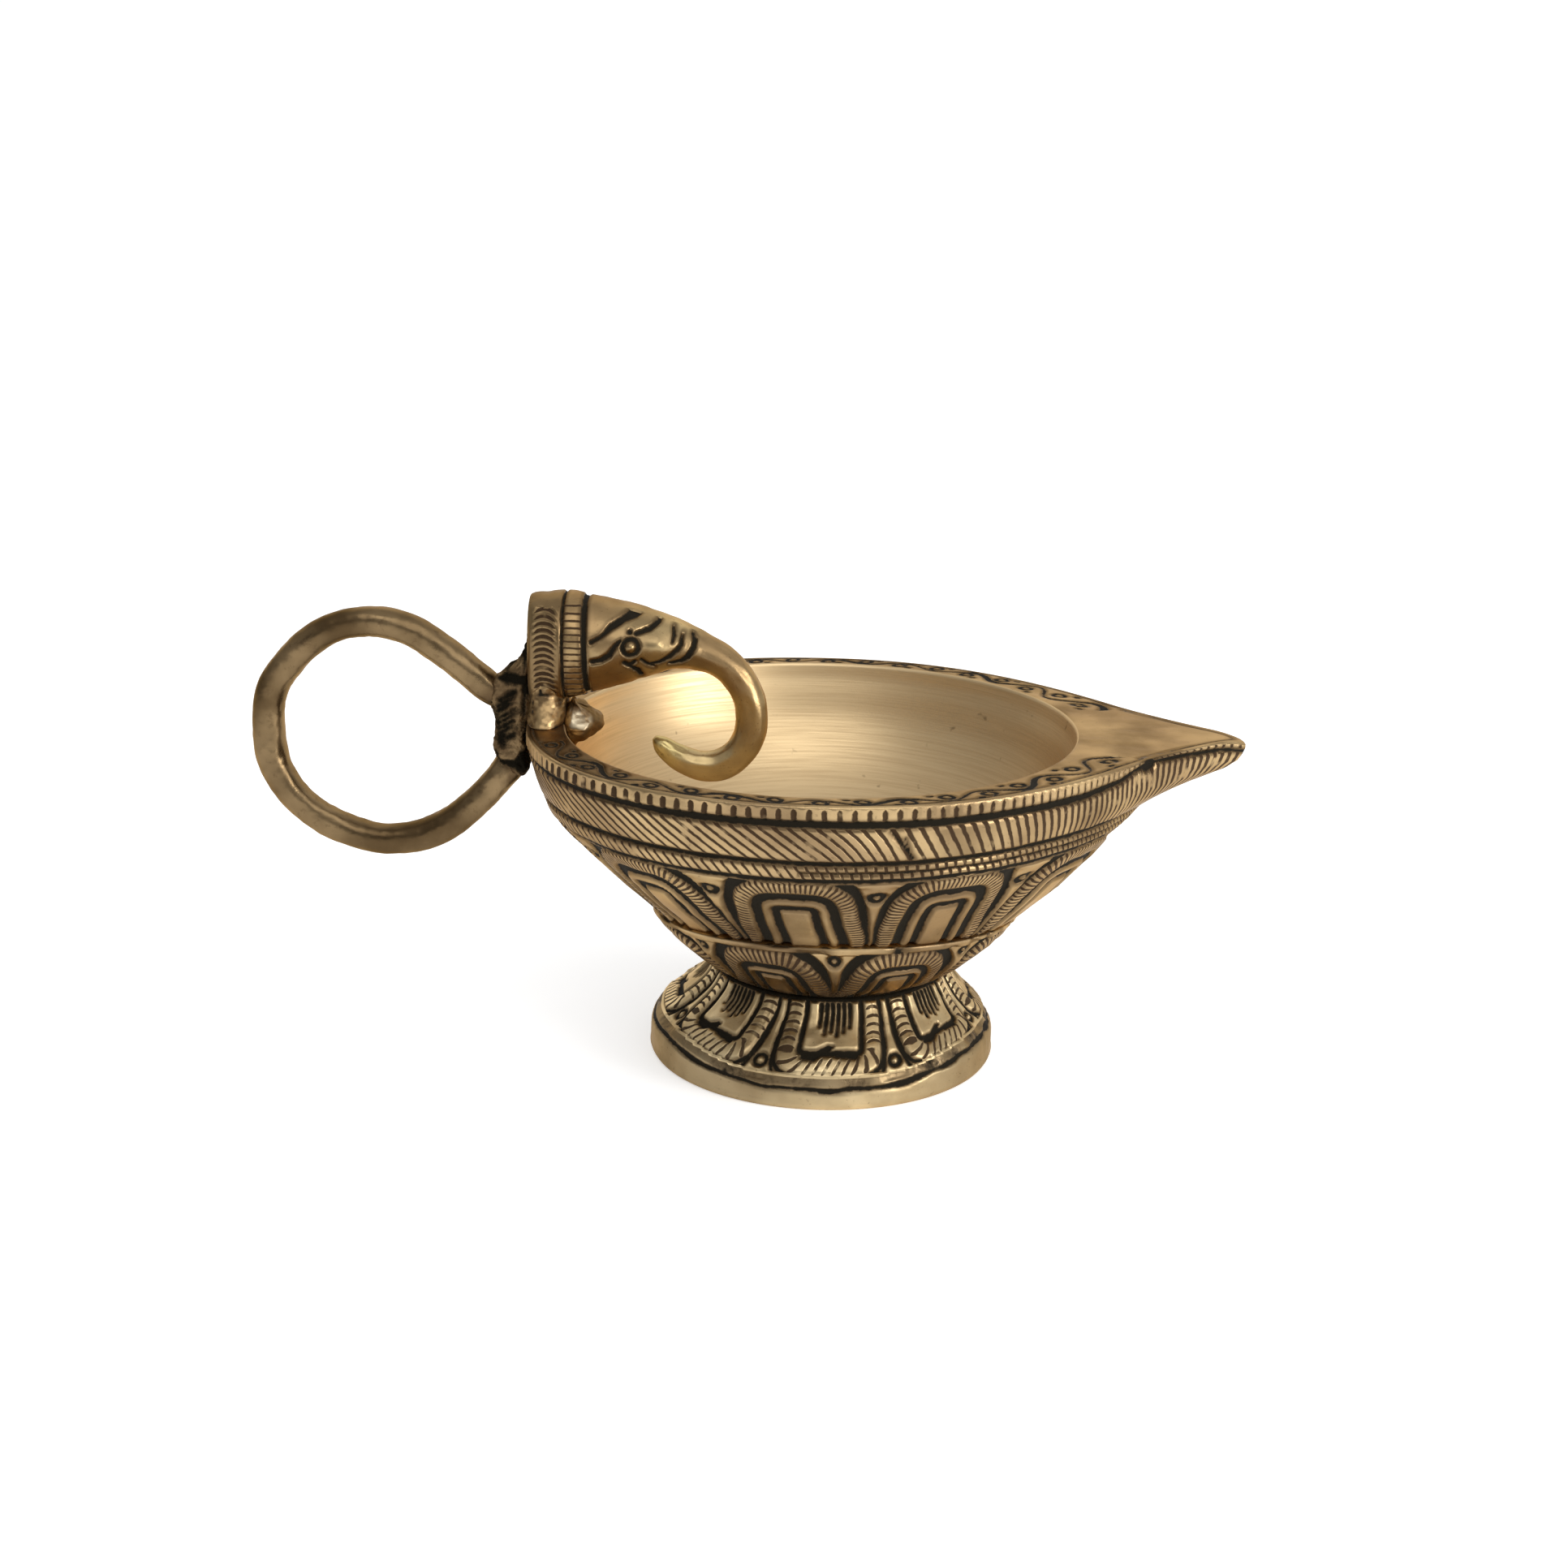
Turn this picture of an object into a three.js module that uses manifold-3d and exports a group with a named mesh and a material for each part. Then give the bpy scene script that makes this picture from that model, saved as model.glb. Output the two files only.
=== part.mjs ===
// Brass diya oil lamp: leaf-shaped bowl on a lotus cup and a flared foot, with a finger
// ring and an elephant head behind the bowl. Millimetres, +Z up, spout toward +X.
import * as THREE from 'three';
import { mergeVertices } from 'three/addons/utils/BufferGeometryUtils.js';
import Module from 'manifold-3d';

const wasm = await Module();
wasm.setup();

// ---- driving dimensions -------------------------------------------------------------
const FOOT_AXIS_X = 12.6; // foot axis, so that the whole lamp is centred on X = 0
const GAP = 0.3; // clearance between touching pieces

const RIM_Z = 51.3;
const RIM_HALF_WIDTH = 42.4;
const RIM_REAR = 45.0; // rear end of the rim, behind the foot axis
const RIM_REAR_POWER = 2.15; // roundness of the rear half of the leaf
const SPOUT_LENGTH = 62.4; // spout tip, ahead of the foot axis

const OPENING_RADIUS = 38.2;
const OPENING_X = -1.15;
const FLOOR_Z = 25.5; // inside bottom of the reservoir

const SEAM_Z = 25.0; // bowl sits on the lotus cup here
const SEAM_SADDLE = 1.3; // the seam rises this much at the sides and dips fore and aft
const SEAM_RADIUS = 28.2;
const SEAM_FLARE = 0.8; // the cup widens this much for each millimetre the seam rises
const SPIGOT_RADIUS = 22.6; // round spigot under the bowl, inside the lotus cup
const SPIGOT_Z = 20.4;

const WAIST_Z = 14.3; // lotus cup sits on the foot here
const WAIST_RADIUS = 18.4;
const WAIST_SHIFT = 1.1; // the waist stands this far ahead of the foot axis
const FOOT_RADIUS = 26.5;

// Petals or panels round each tier, and the direction that one of them faces.
const UPPER_PETALS = { count: 10, centre: -Math.PI / 2 - 0.098 };
const LOWER_PETALS = { count: 8, centre: -Math.PI / 2 - 0.35 };
const FOOT_PANELS = { count: 8, centre: -Math.PI / 2 + 0.061 };

const STUD_RADIUS = 2.5;
const BORE_RADIUS = STUD_RADIUS + GAP;
const STUD_TOP = 23.4;
const STUD_BOTTOM = 4.6;
const WASHER_RADIUS = 6.0;
const WASHER_TOP = 10.2;
const WASHER_THICK = 1.0;
const NUT_ACROSS_CORNERS = 9.2;
const NUT_THICK = 3.6;

const RING_BAR_THICK = 4.6; // in the plane of the ring
const RING_BAR_WIDE = 5.2; // across the ring
const HEAD_BACK_X = -44.6;

// ---- materials ----------------------------------------------------------------------
function brass(colour, roughness) {
  return new THREE.MeshStandardMaterial({ color: colour, metalness: 0.9, roughness });
}
const AGED_BRASS = 0x9c7a48;
const DARK_BRASS = 0x5e4a2c;
const BRIGHT_BRASS = 0xc7a163;

// ---- mesh helpers -------------------------------------------------------------------
// Rings of equal point count become one closed body. With `loop` the last ring joins the
// first; otherwise both ends are closed onto the centre of their ring.
function loft(rings, loop = false) {
  const count = rings[0].length;
  const positions = rings.flat(2);
  const faces = [];
  const bands = loop ? rings.length : rings.length - 1;
  for (let i = 0; i < bands; i += 1) {
    const here = i * count;
    const next = ((i + 1) % rings.length) * count;
    for (let j = 0; j < count; j += 1) {
      const k = (j + 1) % count;
      faces.push(here + j, here + k, next + k);
      faces.push(here + j, next + k, next + j);
    }
  }
  if (!loop) {
    for (const [ring, start] of [[rings[0], 0], [rings.at(-1), (rings.length - 1) * count]]) {
      const centre = [0, 1, 2].map((axis) => ring.reduce((sum, p) => sum + p[axis], 0) / count);
      const tip = positions.length / 3;
      positions.push(...centre);
      for (let j = 0; j < count; j += 1) {
        const k = (j + 1) % count;
        if (start === 0) {
          faces.push(tip, start + k, start + j);
        } else {
          faces.push(tip, start + j, start + k);
        }
      }
    }
  }
  return outward(positions, faces);
}

// Turns every face outward, from the sign of the enclosed volume.
function outward(positions, faces) {
  const corner = (index) => new THREE.Vector3().fromArray(positions, 3 * index);
  let volume = 0;
  for (let i = 0; i < faces.length; i += 3) {
    const [a, b, c] = [faces[i], faces[i + 1], faces[i + 2]].map(corner);
    volume += a.dot(b.cross(c));
  }
  const wound = volume > 0 ? faces : faces.slice().reverse();
  const geometry = new THREE.BufferGeometry();
  geometry.setAttribute('position', new THREE.Float32BufferAttribute(positions, 3));
  geometry.setIndex(wound);
  return geometry;
}

function toManifold(geometry) {
  const bare = geometry.clone();
  bare.deleteAttribute('normal');
  bare.deleteAttribute('uv');
  const welded = mergeVertices(bare, 1e-4);
  return new wasm.Manifold(new wasm.Mesh({
    numProp: 3,
    vertProperties: new Float32Array(welded.attributes.position.array),
    triVerts: new Uint32Array(welded.index.array),
  }));
}

function fromManifold(solid) {
  const mesh = solid.getMesh();
  const geometry = new THREE.BufferGeometry();
  geometry.setAttribute('position', new THREE.BufferAttribute(mesh.vertProperties.slice(), 3));
  geometry.setIndex(new THREE.BufferAttribute(mesh.triVerts.slice(), 1));
  return geometry;
}

// A closed profile of [radius, z] points turned about the foot axis.
function turned(profile, count) {
  const rings = profile.map(([radius, z]) => Array.from({ length: count }, (_, j) => {
    const angle = (2 * Math.PI * j) / count;
    return [radius * Math.cos(angle), radius * Math.sin(angle), z];
  }));
  return loft(rings, true);
}

const lerp = (a, b, t) => a + (b - a) * t;

// ---- plan outline of the rim --------------------------------------------------------
// Half of the leaf, from the rear end round to the spout tip: a superellipse quarter, a
// convex shoulder and a hollow run to the blunt tip.
function halfLeaf() {
  const points = [];
  for (let i = 0; i < 60; i += 1) {
    const angle = (Math.PI / 2) * (i / 60);
    const x = -RIM_REAR * Math.cos(angle) ** (2 / RIM_REAR_POWER);
    points.push([x, RIM_HALF_WIDTH * Math.sin(angle) ** (2 / RIM_REAR_POWER)]);
  }
  const shoulder = new THREE.CubicBezierCurve(
    new THREE.Vector2(0, RIM_HALF_WIDTH),
    new THREE.Vector2(19, RIM_HALF_WIDTH),
    new THREE.Vector2(32.5, 31.1),
    new THREE.Vector2(44, 17),
  );
  const flank = new THREE.CubicBezierCurve(
    new THREE.Vector2(44, 17),
    new THREE.Vector2(47.2, 13.1),
    new THREE.Vector2(54.5, 6.2),
    new THREE.Vector2(61, 1.6),
  );
  const tip = new THREE.QuadraticBezierCurve(
    new THREE.Vector2(61, 1.6),
    new THREE.Vector2(SPOUT_LENGTH, 0.7),
    new THREE.Vector2(SPOUT_LENGTH, 0),
  );
  points.push(...shoulder.getPoints(60).slice(0, -1).map((p) => [p.x, p.y]));
  points.push(...flank.getPoints(40).slice(0, -1).map((p) => [p.x, p.y]));
  points.push(...tip.getPoints(8).map((p) => [p.x, p.y]));
  return points;
}

const LEAF = halfLeaf().map(([x, y]) => ({ angle: Math.atan2(y, x), radius: Math.hypot(x, y) }));

// Distance from the foot axis to the rim outline in the direction `angle`.
function leafRadius(angle) {
  const folded = Math.abs(Math.atan2(Math.sin(angle), Math.cos(angle)));
  const after = LEAF.findIndex((p) => p.angle <= folded);
  if (after <= 0) {
    return LEAF[0].radius;
  }
  const [a, b] = [LEAF[after - 1], LEAF[after]];
  return lerp(a.radius, b.radius, (folded - a.angle) / (b.angle - a.angle));
}

// Directions round the bowl, closer together toward the spout tip.
const BOWL_COUNT = 72;
const BOWL_ANGLES = Array.from({ length: BOWL_COUNT }, (_, j) => {
  const even = (2 * Math.PI * j) / BOWL_COUNT - Math.PI;
  return even - 0.55 * Math.sin(even);
});

// Swelling of the lotus petals, 0 in the valley between two petals and 1 on a petal.
function petalSwell(angle, { count, centre }) {
  const turn = ((angle - centre) * count) / (2 * Math.PI);
  const off = Math.abs(turn - Math.round(turn)) * 2;
  return 1 - off ** 6;
}

// How far the leaf reaches beyond a round bowl. `keel` 1 gives the sharp prow of the rim and
// 0 a blunt swelling of the same length.
function leafReach(angle, keel) {
  const sharp = leafRadius(angle) - RIM_HALF_WIDTH;
  const blunt = (SPOUT_LENGTH - RIM_HALF_WIDTH) * Math.cos(angle) ** 6;
  return Math.cos(angle) > 0 ? lerp(blunt, sharp, keel) : sharp;
}

// One ring of the outer wall: a circle of `radius` plus a share of the leaf's reach, `prow`
// ahead of the axis and `rear` behind it. `saddle` lets the ring follow the curved seam.
function wallRing({
  z, radius, rear = 0, prow = 0, keel = 0, shift = 0, petal = 0, saddle = 0,
  petals = UPPER_PETALS,
}) {
  return BOWL_ANGLES.map((angle) => {
    const share = Math.cos(angle) > 0 ? prow : rear;
    const rise = -saddle * SEAM_SADDLE * Math.cos(2 * angle);
    const edge = radius + share * leafReach(angle, keel)
      - petal * (1 - petalSwell(angle, petals)) + SEAM_FLARE * rise;
    return [shift + edge * Math.cos(angle), edge * Math.sin(angle), z + rise];
  });
}

function circleRing(radius, z, centre) {
  return wallRing({ z, radius, shift: centre });
}

// ---- bowl ---------------------------------------------------------------------------
const PETAL_DEPTH = 0.5;
const GROOVE_DEPTH = 0.45;
const OUTER_WALL = [
  { z: SEAM_Z + GAP, radius: SEAM_RADIUS, shift: 1.0, saddle: 1, prow: 0.08 },
  { z: SEAM_Z + 1.2, radius: 29.1, shift: 1.0, saddle: 0.9, prow: 0.11, petal: 0.2 },
  { z: 30.0, radius: 32.2, rear: 0.2, prow: 0.21, shift: 0.4, petal: PETAL_DEPTH },
  { z: 35.0, radius: 36.4, rear: 0.4, prow: 0.245, petal: PETAL_DEPTH },
  { z: 38.6, radius: 39.3, rear: 0.55, prow: 0.265, petal: PETAL_DEPTH, keel: 0.2 },
  { z: 39.6, radius: 40.2 - GROOVE_DEPTH, rear: 0.6, prow: 0.28, keel: 0.25 },
  { z: 40.3, radius: 40.4, rear: 0.64, prow: 0.3, keel: 0.3 },
  { z: 42.2, radius: 40.9, rear: 0.72, prow: 0.39, keel: 0.5 },
  { z: 42.6, radius: 41.0 - GROOVE_DEPTH, rear: 0.74, prow: 0.42, keel: 0.55 },
  { z: 43.0, radius: 41.1, rear: 0.76, prow: 0.48, keel: 0.6 },
  { z: 44.9, radius: 41.5, rear: 0.86, prow: 0.71, keel: 0.8 },
  { z: 46.6, radius: 41.8, rear: 0.93, prow: 0.89, keel: 0.9 },
  { z: 47.9, radius: 42.1, rear: 0.97, prow: 0.95, keel: 1 },
  { z: 48.5, radius: 42.2 - GROOVE_DEPTH, rear: 0.98, prow: 0.965, keel: 1 },
  { z: 49.1, radius: 42.4, rear: 1, prow: 0.98, keel: 1 },
  { z: RIM_Z - 0.6, radius: 42.4, rear: 1, prow: 1, keel: 1 },
  { z: RIM_Z, radius: 42.0, rear: 1, prow: 0.99, keel: 1 },
];

// Height of the inside wall: upright at the edge, then a round bowl down to a flat floor.
const INNER_WALL = [
  [OPENING_RADIUS, RIM_Z],
  [OPENING_RADIUS - 0.5, RIM_Z - 1.5],
  [37.2, 47.5],
  [35.6, 43.0],
  [33.0, 38.6],
  [29.4, 34.4],
  [24.6, 30.6],
  [18.6, 27.6],
  [11.0, 25.9],
  [4.0, FLOOR_Z],
];

// Where the round spigot meets the saddle-shaped seam.
function spigotRing(radius, z) {
  const rise = (angle) => -SEAM_SADDLE * Math.cos(2 * angle);
  return circleRing(radius, z, 0).map(([x, y, level], j) => [x, y, level + rise(BOWL_ANGLES[j])]);
}

// A small inner ring keeps the flat end of the blind bore evenly meshed.
const BORE_CENTRE_RADIUS = 0.9;

function bowl() {
  const rings = [
    circleRing(BORE_CENTRE_RADIUS, STUD_TOP + GAP, 0),
    circleRing(BORE_RADIUS, STUD_TOP + GAP, 0),
    circleRing(BORE_RADIUS, SPIGOT_Z, 0),
    circleRing(SPIGOT_RADIUS, SPIGOT_Z, 0),
    spigotRing(SPIGOT_RADIUS, SEAM_Z + GAP),
    ...OUTER_WALL.map(wallRing),
    ...INNER_WALL.map(([radius, z]) => circleRing(radius, z, OPENING_X)),
  ];
  return loft(rings);
}

// ---- lotus cup, foot and the fastening inside them ----------------------------------
const WASHER_COUNT = 32;

function lotusCollar() {
  const outside = [
    { z: WAIST_Z + GAP, radius: WAIST_RADIUS, shift: WAIST_SHIFT },
    { z: 15.6, radius: 20.5, shift: 1.3, petal: PETAL_DEPTH },
    { z: 18.2, radius: 23.9, shift: 1.4, petal: PETAL_DEPTH, prow: 0.01 },
    { z: 21.2, radius: 26.6, shift: 1.2, petal: PETAL_DEPTH, saddle: 0.2, prow: 0.05 },
    { z: SEAM_Z - 1.0, radius: 28.3, shift: 1.0, petal: 0.3, saddle: 0.9, prow: 0.08 },
    { z: SEAM_Z, radius: 28.4, shift: 1.0, saddle: 1, prow: 0.08 },
  ].map((station) => wallRing({ ...station, petals: LOWER_PETALS }));
  const recess = SPIGOT_RADIUS + GAP;
  const inside = [
    spigotRing(recess, SEAM_Z),
    circleRing(recess, SPIGOT_Z - GAP, 0),
    circleRing(BORE_RADIUS, SPIGOT_Z - GAP, 0),
    circleRing(BORE_RADIUS, WAIST_Z + GAP, 0),
  ];
  return loft([...outside, ...inside], true);
}

// Straight-sided panels of the foot stand out between narrow valleys.
function footRing(radius, z, relief, shift = 0) {
  return BOWL_ANGLES.map((angle) => {
    const edge = radius - relief * (1 - petalSwell(angle, FOOT_PANELS));
    return [shift + edge * Math.cos(angle), edge * Math.sin(angle), z];
  });
}

function foot() {
  const webUnder = WASHER_TOP + GAP;
  return loft([
    footRing(22.8, 0, 0),
    footRing(FOOT_RADIUS - 0.6, 0, 0),
    footRing(FOOT_RADIUS - 0.1, 0.8, 0),
    footRing(FOOT_RADIUS, 2.6, 0),
    footRing(FOOT_RADIUS - 0.5, 3.2, 0),
    footRing(FOOT_RADIUS - 0.1, 4.0, 0),
    footRing(26.0, 5.8, PETAL_DEPTH),
    footRing(24.1, 8.2, PETAL_DEPTH, 0.2),
    footRing(21.5, 10.4, PETAL_DEPTH, 0.5),
    footRing(19.5, 12.4, PETAL_DEPTH, 0.9),
    footRing(WAIST_RADIUS, WAIST_Z, 0, WAIST_SHIFT),
    footRing(BORE_RADIUS, WAIST_Z, 0),
    footRing(BORE_RADIUS, webUnder, 0),
    footRing(13.0, webUnder, 0),
    footRing(17.0, 9.0, 0),
    footRing(20.4, 5.2, 0),
    footRing(22.0, 1.6, 0),
  ], true);
}

function footStud() {
  const chamfer = 0.4;
  return loft([
    circleRing(STUD_RADIUS - chamfer, STUD_BOTTOM, 0),
    circleRing(STUD_RADIUS, STUD_BOTTOM + chamfer, 0),
    circleRing(STUD_RADIUS, STUD_TOP - chamfer, 0),
    circleRing(STUD_RADIUS - chamfer, STUD_TOP, 0),
  ].map((ring) => ring.filter((_, j) => j % 3 === 0)));
}

function footWasher() {
  return turned([
    [BORE_RADIUS, WASHER_TOP - WASHER_THICK],
    [WASHER_RADIUS, WASHER_TOP - WASHER_THICK],
    [WASHER_RADIUS, WASHER_TOP],
    [BORE_RADIUS, WASHER_TOP],
  ], WASHER_COUNT);
}

function footNut() {
  const top = WASHER_TOP - WASHER_THICK - GAP;
  const flats = new THREE.CylinderGeometry(
    NUT_ACROSS_CORNERS / 2, NUT_ACROSS_CORNERS / 2, NUT_THICK, 6,
  );
  const hole = new THREE.CylinderGeometry(BORE_RADIUS, BORE_RADIUS, NUT_THICK + 2, 24);
  for (const shape of [flats, hole]) {
    shape.rotateX(Math.PI / 2);
    shape.translate(0, 0, top - NUT_THICK / 2);
  }
  return fromManifold(toManifold(flats).subtract(toManifold(hole)));
}

// ---- finger ring --------------------------------------------------------------------
// Centre line of the bent bar in the XZ plane, from its upper end round to its lower end.
const RING_PATH = [
  [-48.6, 53.0],
  [-52.9, 56.9],
  [-57.5, 60.6],
  [-62.6, 63.8],
  [-68.3, 65.1],
  [-74.5, 63.8],
  [-80.3, 59.5],
  [-84.0, 54.0],
  [-85.0, 48.0],
  [-83.8, 42.0],
  [-80.0, 36.5],
  [-73.5, 32.5],
  [-65.8, 31.1],
  [-58.6, 33.2],
  [-53.4, 37.5],
  [-50.8, 41.2],
  [-49.0, 45.2],
];
const RING_TOP_CUT_X = -51.2; // the bar's upper end is cut upright
const RING_LOW_CUT_Z = 43.2; // and its lower end is cut level

// A rounded-rectangle section of the bar: `out` is in the plane, `side` is across it.
function barSection(thick, wide) {
  const steps = 12;
  return Array.from({ length: steps }, (_, j) => {
    const angle = (2 * Math.PI * (j + 0.5)) / steps;
    const [c, s] = [Math.cos(angle), Math.sin(angle)];
    const squareness = 0.62;
    return [
      (thick / 2) * Math.sign(c) * Math.abs(c) ** squareness,
      (wide / 2) * Math.sign(s) * Math.abs(s) ** squareness,
    ];
  });
}

function fingerRing() {
  const path = new THREE.CatmullRomCurve3(
    RING_PATH.map(([x, z]) => new THREE.Vector3(x, 0, z)), false, 'centripetal',
  );
  const stations = 44;
  const rings = [];
  for (let i = 0; i <= stations; i += 1) {
    const at = path.getPointAt(i / stations);
    const along = path.getTangentAt(i / stations);
    rings.push(barSection(RING_BAR_THICK, RING_BAR_WIDE).map(([out, side]) => (
      [at.x - along.z * out, side, at.z + along.x * out]
    )));
  }
  const upper = new THREE.BoxGeometry(20, 20, 20);
  upper.translate(RING_TOP_CUT_X + 10, 0, 60);
  const lower = new THREE.BoxGeometry(20, 20, 10);
  lower.translate(RING_TOP_CUT_X + 8, 0, RING_LOW_CUT_Z + 5);
  return fromManifold(
    toManifold(loft(rings)).subtract(toManifold(upper)).subtract(toManifold(lower)),
  );
}

// ---- handle stem: the casting between the ring, the bowl and the head ---------------
const STEM_WIDE = 8.0;

function handleStem() {
  const right = -45.0 - GAP;
  const left = RING_TOP_CUT_X + GAP;
  const side = new THREE.Shape();
  side.moveTo(right, 42.2);
  side.lineTo(right, 53.2);
  side.lineTo(HEAD_BACK_X - GAP, 53.8);
  side.lineTo(HEAD_BACK_X - GAP, 65.0);
  side.quadraticCurveTo(-45.5, 60.6, left, 58.4);
  side.lineTo(left, 52.4);
  side.quadraticCurveTo(-50.1, 48.2, left, RING_LOW_CUT_Z + GAP);
  side.lineTo(-47.0, RING_LOW_CUT_Z + GAP);
  side.lineTo(-46.6, 42.2);
  const slab = new THREE.ExtrudeGeometry(side, {
    depth: STEM_WIDE, bevelEnabled: false, curveSegments: 8,
  });
  slab.rotateX(Math.PI / 2);
  slab.translate(0, STEM_WIDE / 2, 0);

  // In plan the stem is waisted: it widens toward the ring and more so toward the bowl.
  const plan = new THREE.Shape();
  plan.moveTo(left - 1, -2.6);
  plan.quadraticCurveTo(-48.0, -1.9, HEAD_BACK_X, -STEM_WIDE / 2);
  plan.lineTo(HEAD_BACK_X, STEM_WIDE / 2);
  plan.quadraticCurveTo(-48.0, 1.9, left - 1, 2.6);
  const column = new THREE.ExtrudeGeometry(plan, {
    depth: 40, bevelEnabled: false, curveSegments: 6,
  });
  column.translate(0, 0, 35);
  return fromManifold(toManifold(slab).intersect(toManifold(column)));
}

// ---- elephant head and trunk --------------------------------------------------------
// Stations from the flat back of the head to the tip of the trunk: centre x and z, half
// height, half width, and the lean of the section from upright in degrees.
const HEAD_STATIONS = [
  [HEAD_BACK_X, 61.9, 7.8, 5.6, 0],
  [-43.2, 62.1, 8.3, 6.3, 0],
  [-39.8, 62.5, 8.0, 7.0, 0],
  [-35.9, 62.7, 7.4, 7.3, 0],
  [-30.8, 62.9, 6.2, 6.9, 2],
  [-26.2, 63.0, 4.8, 5.7, 6],
  [-22.0, 62.7, 3.5, 4.3, 14],
  [-18.4, 61.6, 2.8, 3.3, 26],
  [-15.3, 59.9, 2.5, 2.9, 42],
  [-12.9, 57.0, 2.4, 2.7, 63],
  [-11.6, 53.2, 2.4, 2.6, 86],
  [-11.8, 49.4, 2.4, 2.5, 108],
  [-13.5, 46.3, 2.4, 2.5, 134],
  [-16.4, 44.4, 2.4, 2.4, 163],
  [-19.9, 44.4, 2.2, 2.2, 191],
  [-23.2, 45.9, 1.8, 1.9, 213],
  [-25.6, 47.9, 1.0, 1.2, 226],
];
const NECK_X = -42.0;

function elephantHead() {
  const across = 20;
  const rings = HEAD_STATIONS.map(([x, z, tall, wide, lean]) => {
    const tilt = THREE.MathUtils.degToRad(lean);
    return Array.from({ length: across }, (_, j) => {
      const angle = (2 * Math.PI * j) / across;
      const up = tall * Math.cos(angle);
      return [x + up * Math.sin(tilt), wide * Math.sin(angle), z + up * Math.cos(tilt)];
    });
  });
  const neckRings = [
    [RIM_Z + GAP, 2.7, 5.0],
    [54.0, 2.6, 4.6],
    [60.0, 2.4, 4.6],
  ].map(([z, long, wide]) => barSection(2 * long, 2 * wide).map(([x, y]) => (
    [NECK_X + x, y, z]
  )));
  return fromManifold(toManifold(loft(rings)).add(toManifold(loft(neckRings))));
}

// ---- brazing lump between the neck and the inside of the bowl -----------------------
function neckBraze() {
  const lump = new THREE.SphereGeometry(1, 18, 12);
  lump.scale(1.95, 4.4, 2.9);
  lump.translate(-36.5, 0, 51.2);
  return fromManifold(toManifold(lump));
}

// ---- assembly -----------------------------------------------------------------------
const PIECES = [
  ['bowl', bowl(), brass(AGED_BRASS, 0.38)],
  ['lotus_collar', lotusCollar(), brass(AGED_BRASS, 0.42)],
  ['foot', foot(), brass(AGED_BRASS, 0.42)],
  ['foot_stud', footStud(), brass(BRIGHT_BRASS, 0.35)],
  ['foot_washer', footWasher(), brass(BRIGHT_BRASS, 0.35)],
  ['foot_nut', footNut(), brass(BRIGHT_BRASS, 0.35)],
  ['finger_ring', fingerRing(), brass(AGED_BRASS, 0.36)],
  ['handle_stem', handleStem(), brass(DARK_BRASS, 0.6)],
  ['elephant_head', elephantHead(), brass(AGED_BRASS, 0.4)],
  ['neck_braze', neckBraze(), brass(BRIGHT_BRASS, 0.4)],
];

const lamp = new THREE.Group();
lamp.name = 'diya_oil_lamp';
for (const [name, geometry, material] of PIECES) {
  geometry.translate(FOOT_AXIS_X, 0, 0);
  const mesh = new THREE.Mesh(geometry, material);
  mesh.name = name;
  lamp.add(mesh);
}

export default lamp;
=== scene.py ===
"""Brass diya oil lamp: the engraved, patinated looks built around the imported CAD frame.

Shapes are worked out in millimetres from the foot axis and the level the lamp stands on,
the way the CAD part is, and are put into the frame's metres by `in_frame`.
"""

import math

import bmesh
import bpy
import numpy as np
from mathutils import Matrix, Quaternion, Vector


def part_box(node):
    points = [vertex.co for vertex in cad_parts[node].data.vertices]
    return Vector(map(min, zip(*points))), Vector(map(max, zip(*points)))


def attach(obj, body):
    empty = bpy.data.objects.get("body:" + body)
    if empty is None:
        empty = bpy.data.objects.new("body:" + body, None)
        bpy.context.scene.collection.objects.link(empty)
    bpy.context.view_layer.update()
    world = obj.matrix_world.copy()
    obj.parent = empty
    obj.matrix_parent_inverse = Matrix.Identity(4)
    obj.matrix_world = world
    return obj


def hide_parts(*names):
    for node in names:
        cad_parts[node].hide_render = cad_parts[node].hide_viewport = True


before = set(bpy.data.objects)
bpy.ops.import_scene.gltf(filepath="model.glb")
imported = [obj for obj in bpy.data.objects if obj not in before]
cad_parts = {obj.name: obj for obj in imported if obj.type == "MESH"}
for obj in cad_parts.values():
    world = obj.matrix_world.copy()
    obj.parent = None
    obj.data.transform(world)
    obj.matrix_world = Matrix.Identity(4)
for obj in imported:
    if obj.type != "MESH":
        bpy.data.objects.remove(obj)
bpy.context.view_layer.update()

MM = 0.001
FOOT_LOW, FOOT_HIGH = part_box("foot")
BOWL_LOW, BOWL_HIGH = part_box("bowl")
AXIS_X = (FOOT_LOW[0] + FOOT_HIGH[0]) / 2 / MM
RIM_Z = BOWL_HIGH[2] / MM
RIM_HALF_WIDTH = (BOWL_HIGH[1] - BOWL_LOW[1]) / 2 / MM
RIM_REAR = AXIS_X - BOWL_LOW[0] / MM
SPOUT_LENGTH = BOWL_HIGH[0] / MM - AXIS_X
FOOT_RADIUS = (FOOT_HIGH[0] - FOOT_LOW[0]) / 2 / MM
WAIST_Z = FOOT_HIGH[2] / MM

GAP = 0.3
OPENING_RADIUS = 38.2
OPENING_X = -1.15
SEAM_Z = 25.0
SEAM_SADDLE = 1.3
SEAM_FLARE = 0.8
SPIGOT_RADIUS = 22.6
SPIGOT_Z = 20.4
BORE_RADIUS = 2.8

UPPER_PETALS = 10
UPPER_PETAL_AT = -math.pi / 2 - 0.098
LOWER_PETALS = 8
LOWER_PETAL_AT = -math.pi / 2 - 0.35
FOOT_PANELS = 8
FOOT_PANEL_AT = -math.pi / 2 + 0.061
FOOT_PANEL_WARP = 0.0625  # the panels at the front are this much wider apart than the mean

TURN = 2 * math.pi
FAR = 5.0  # "no engraving near": the value of the groove distance on plain metal


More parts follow.
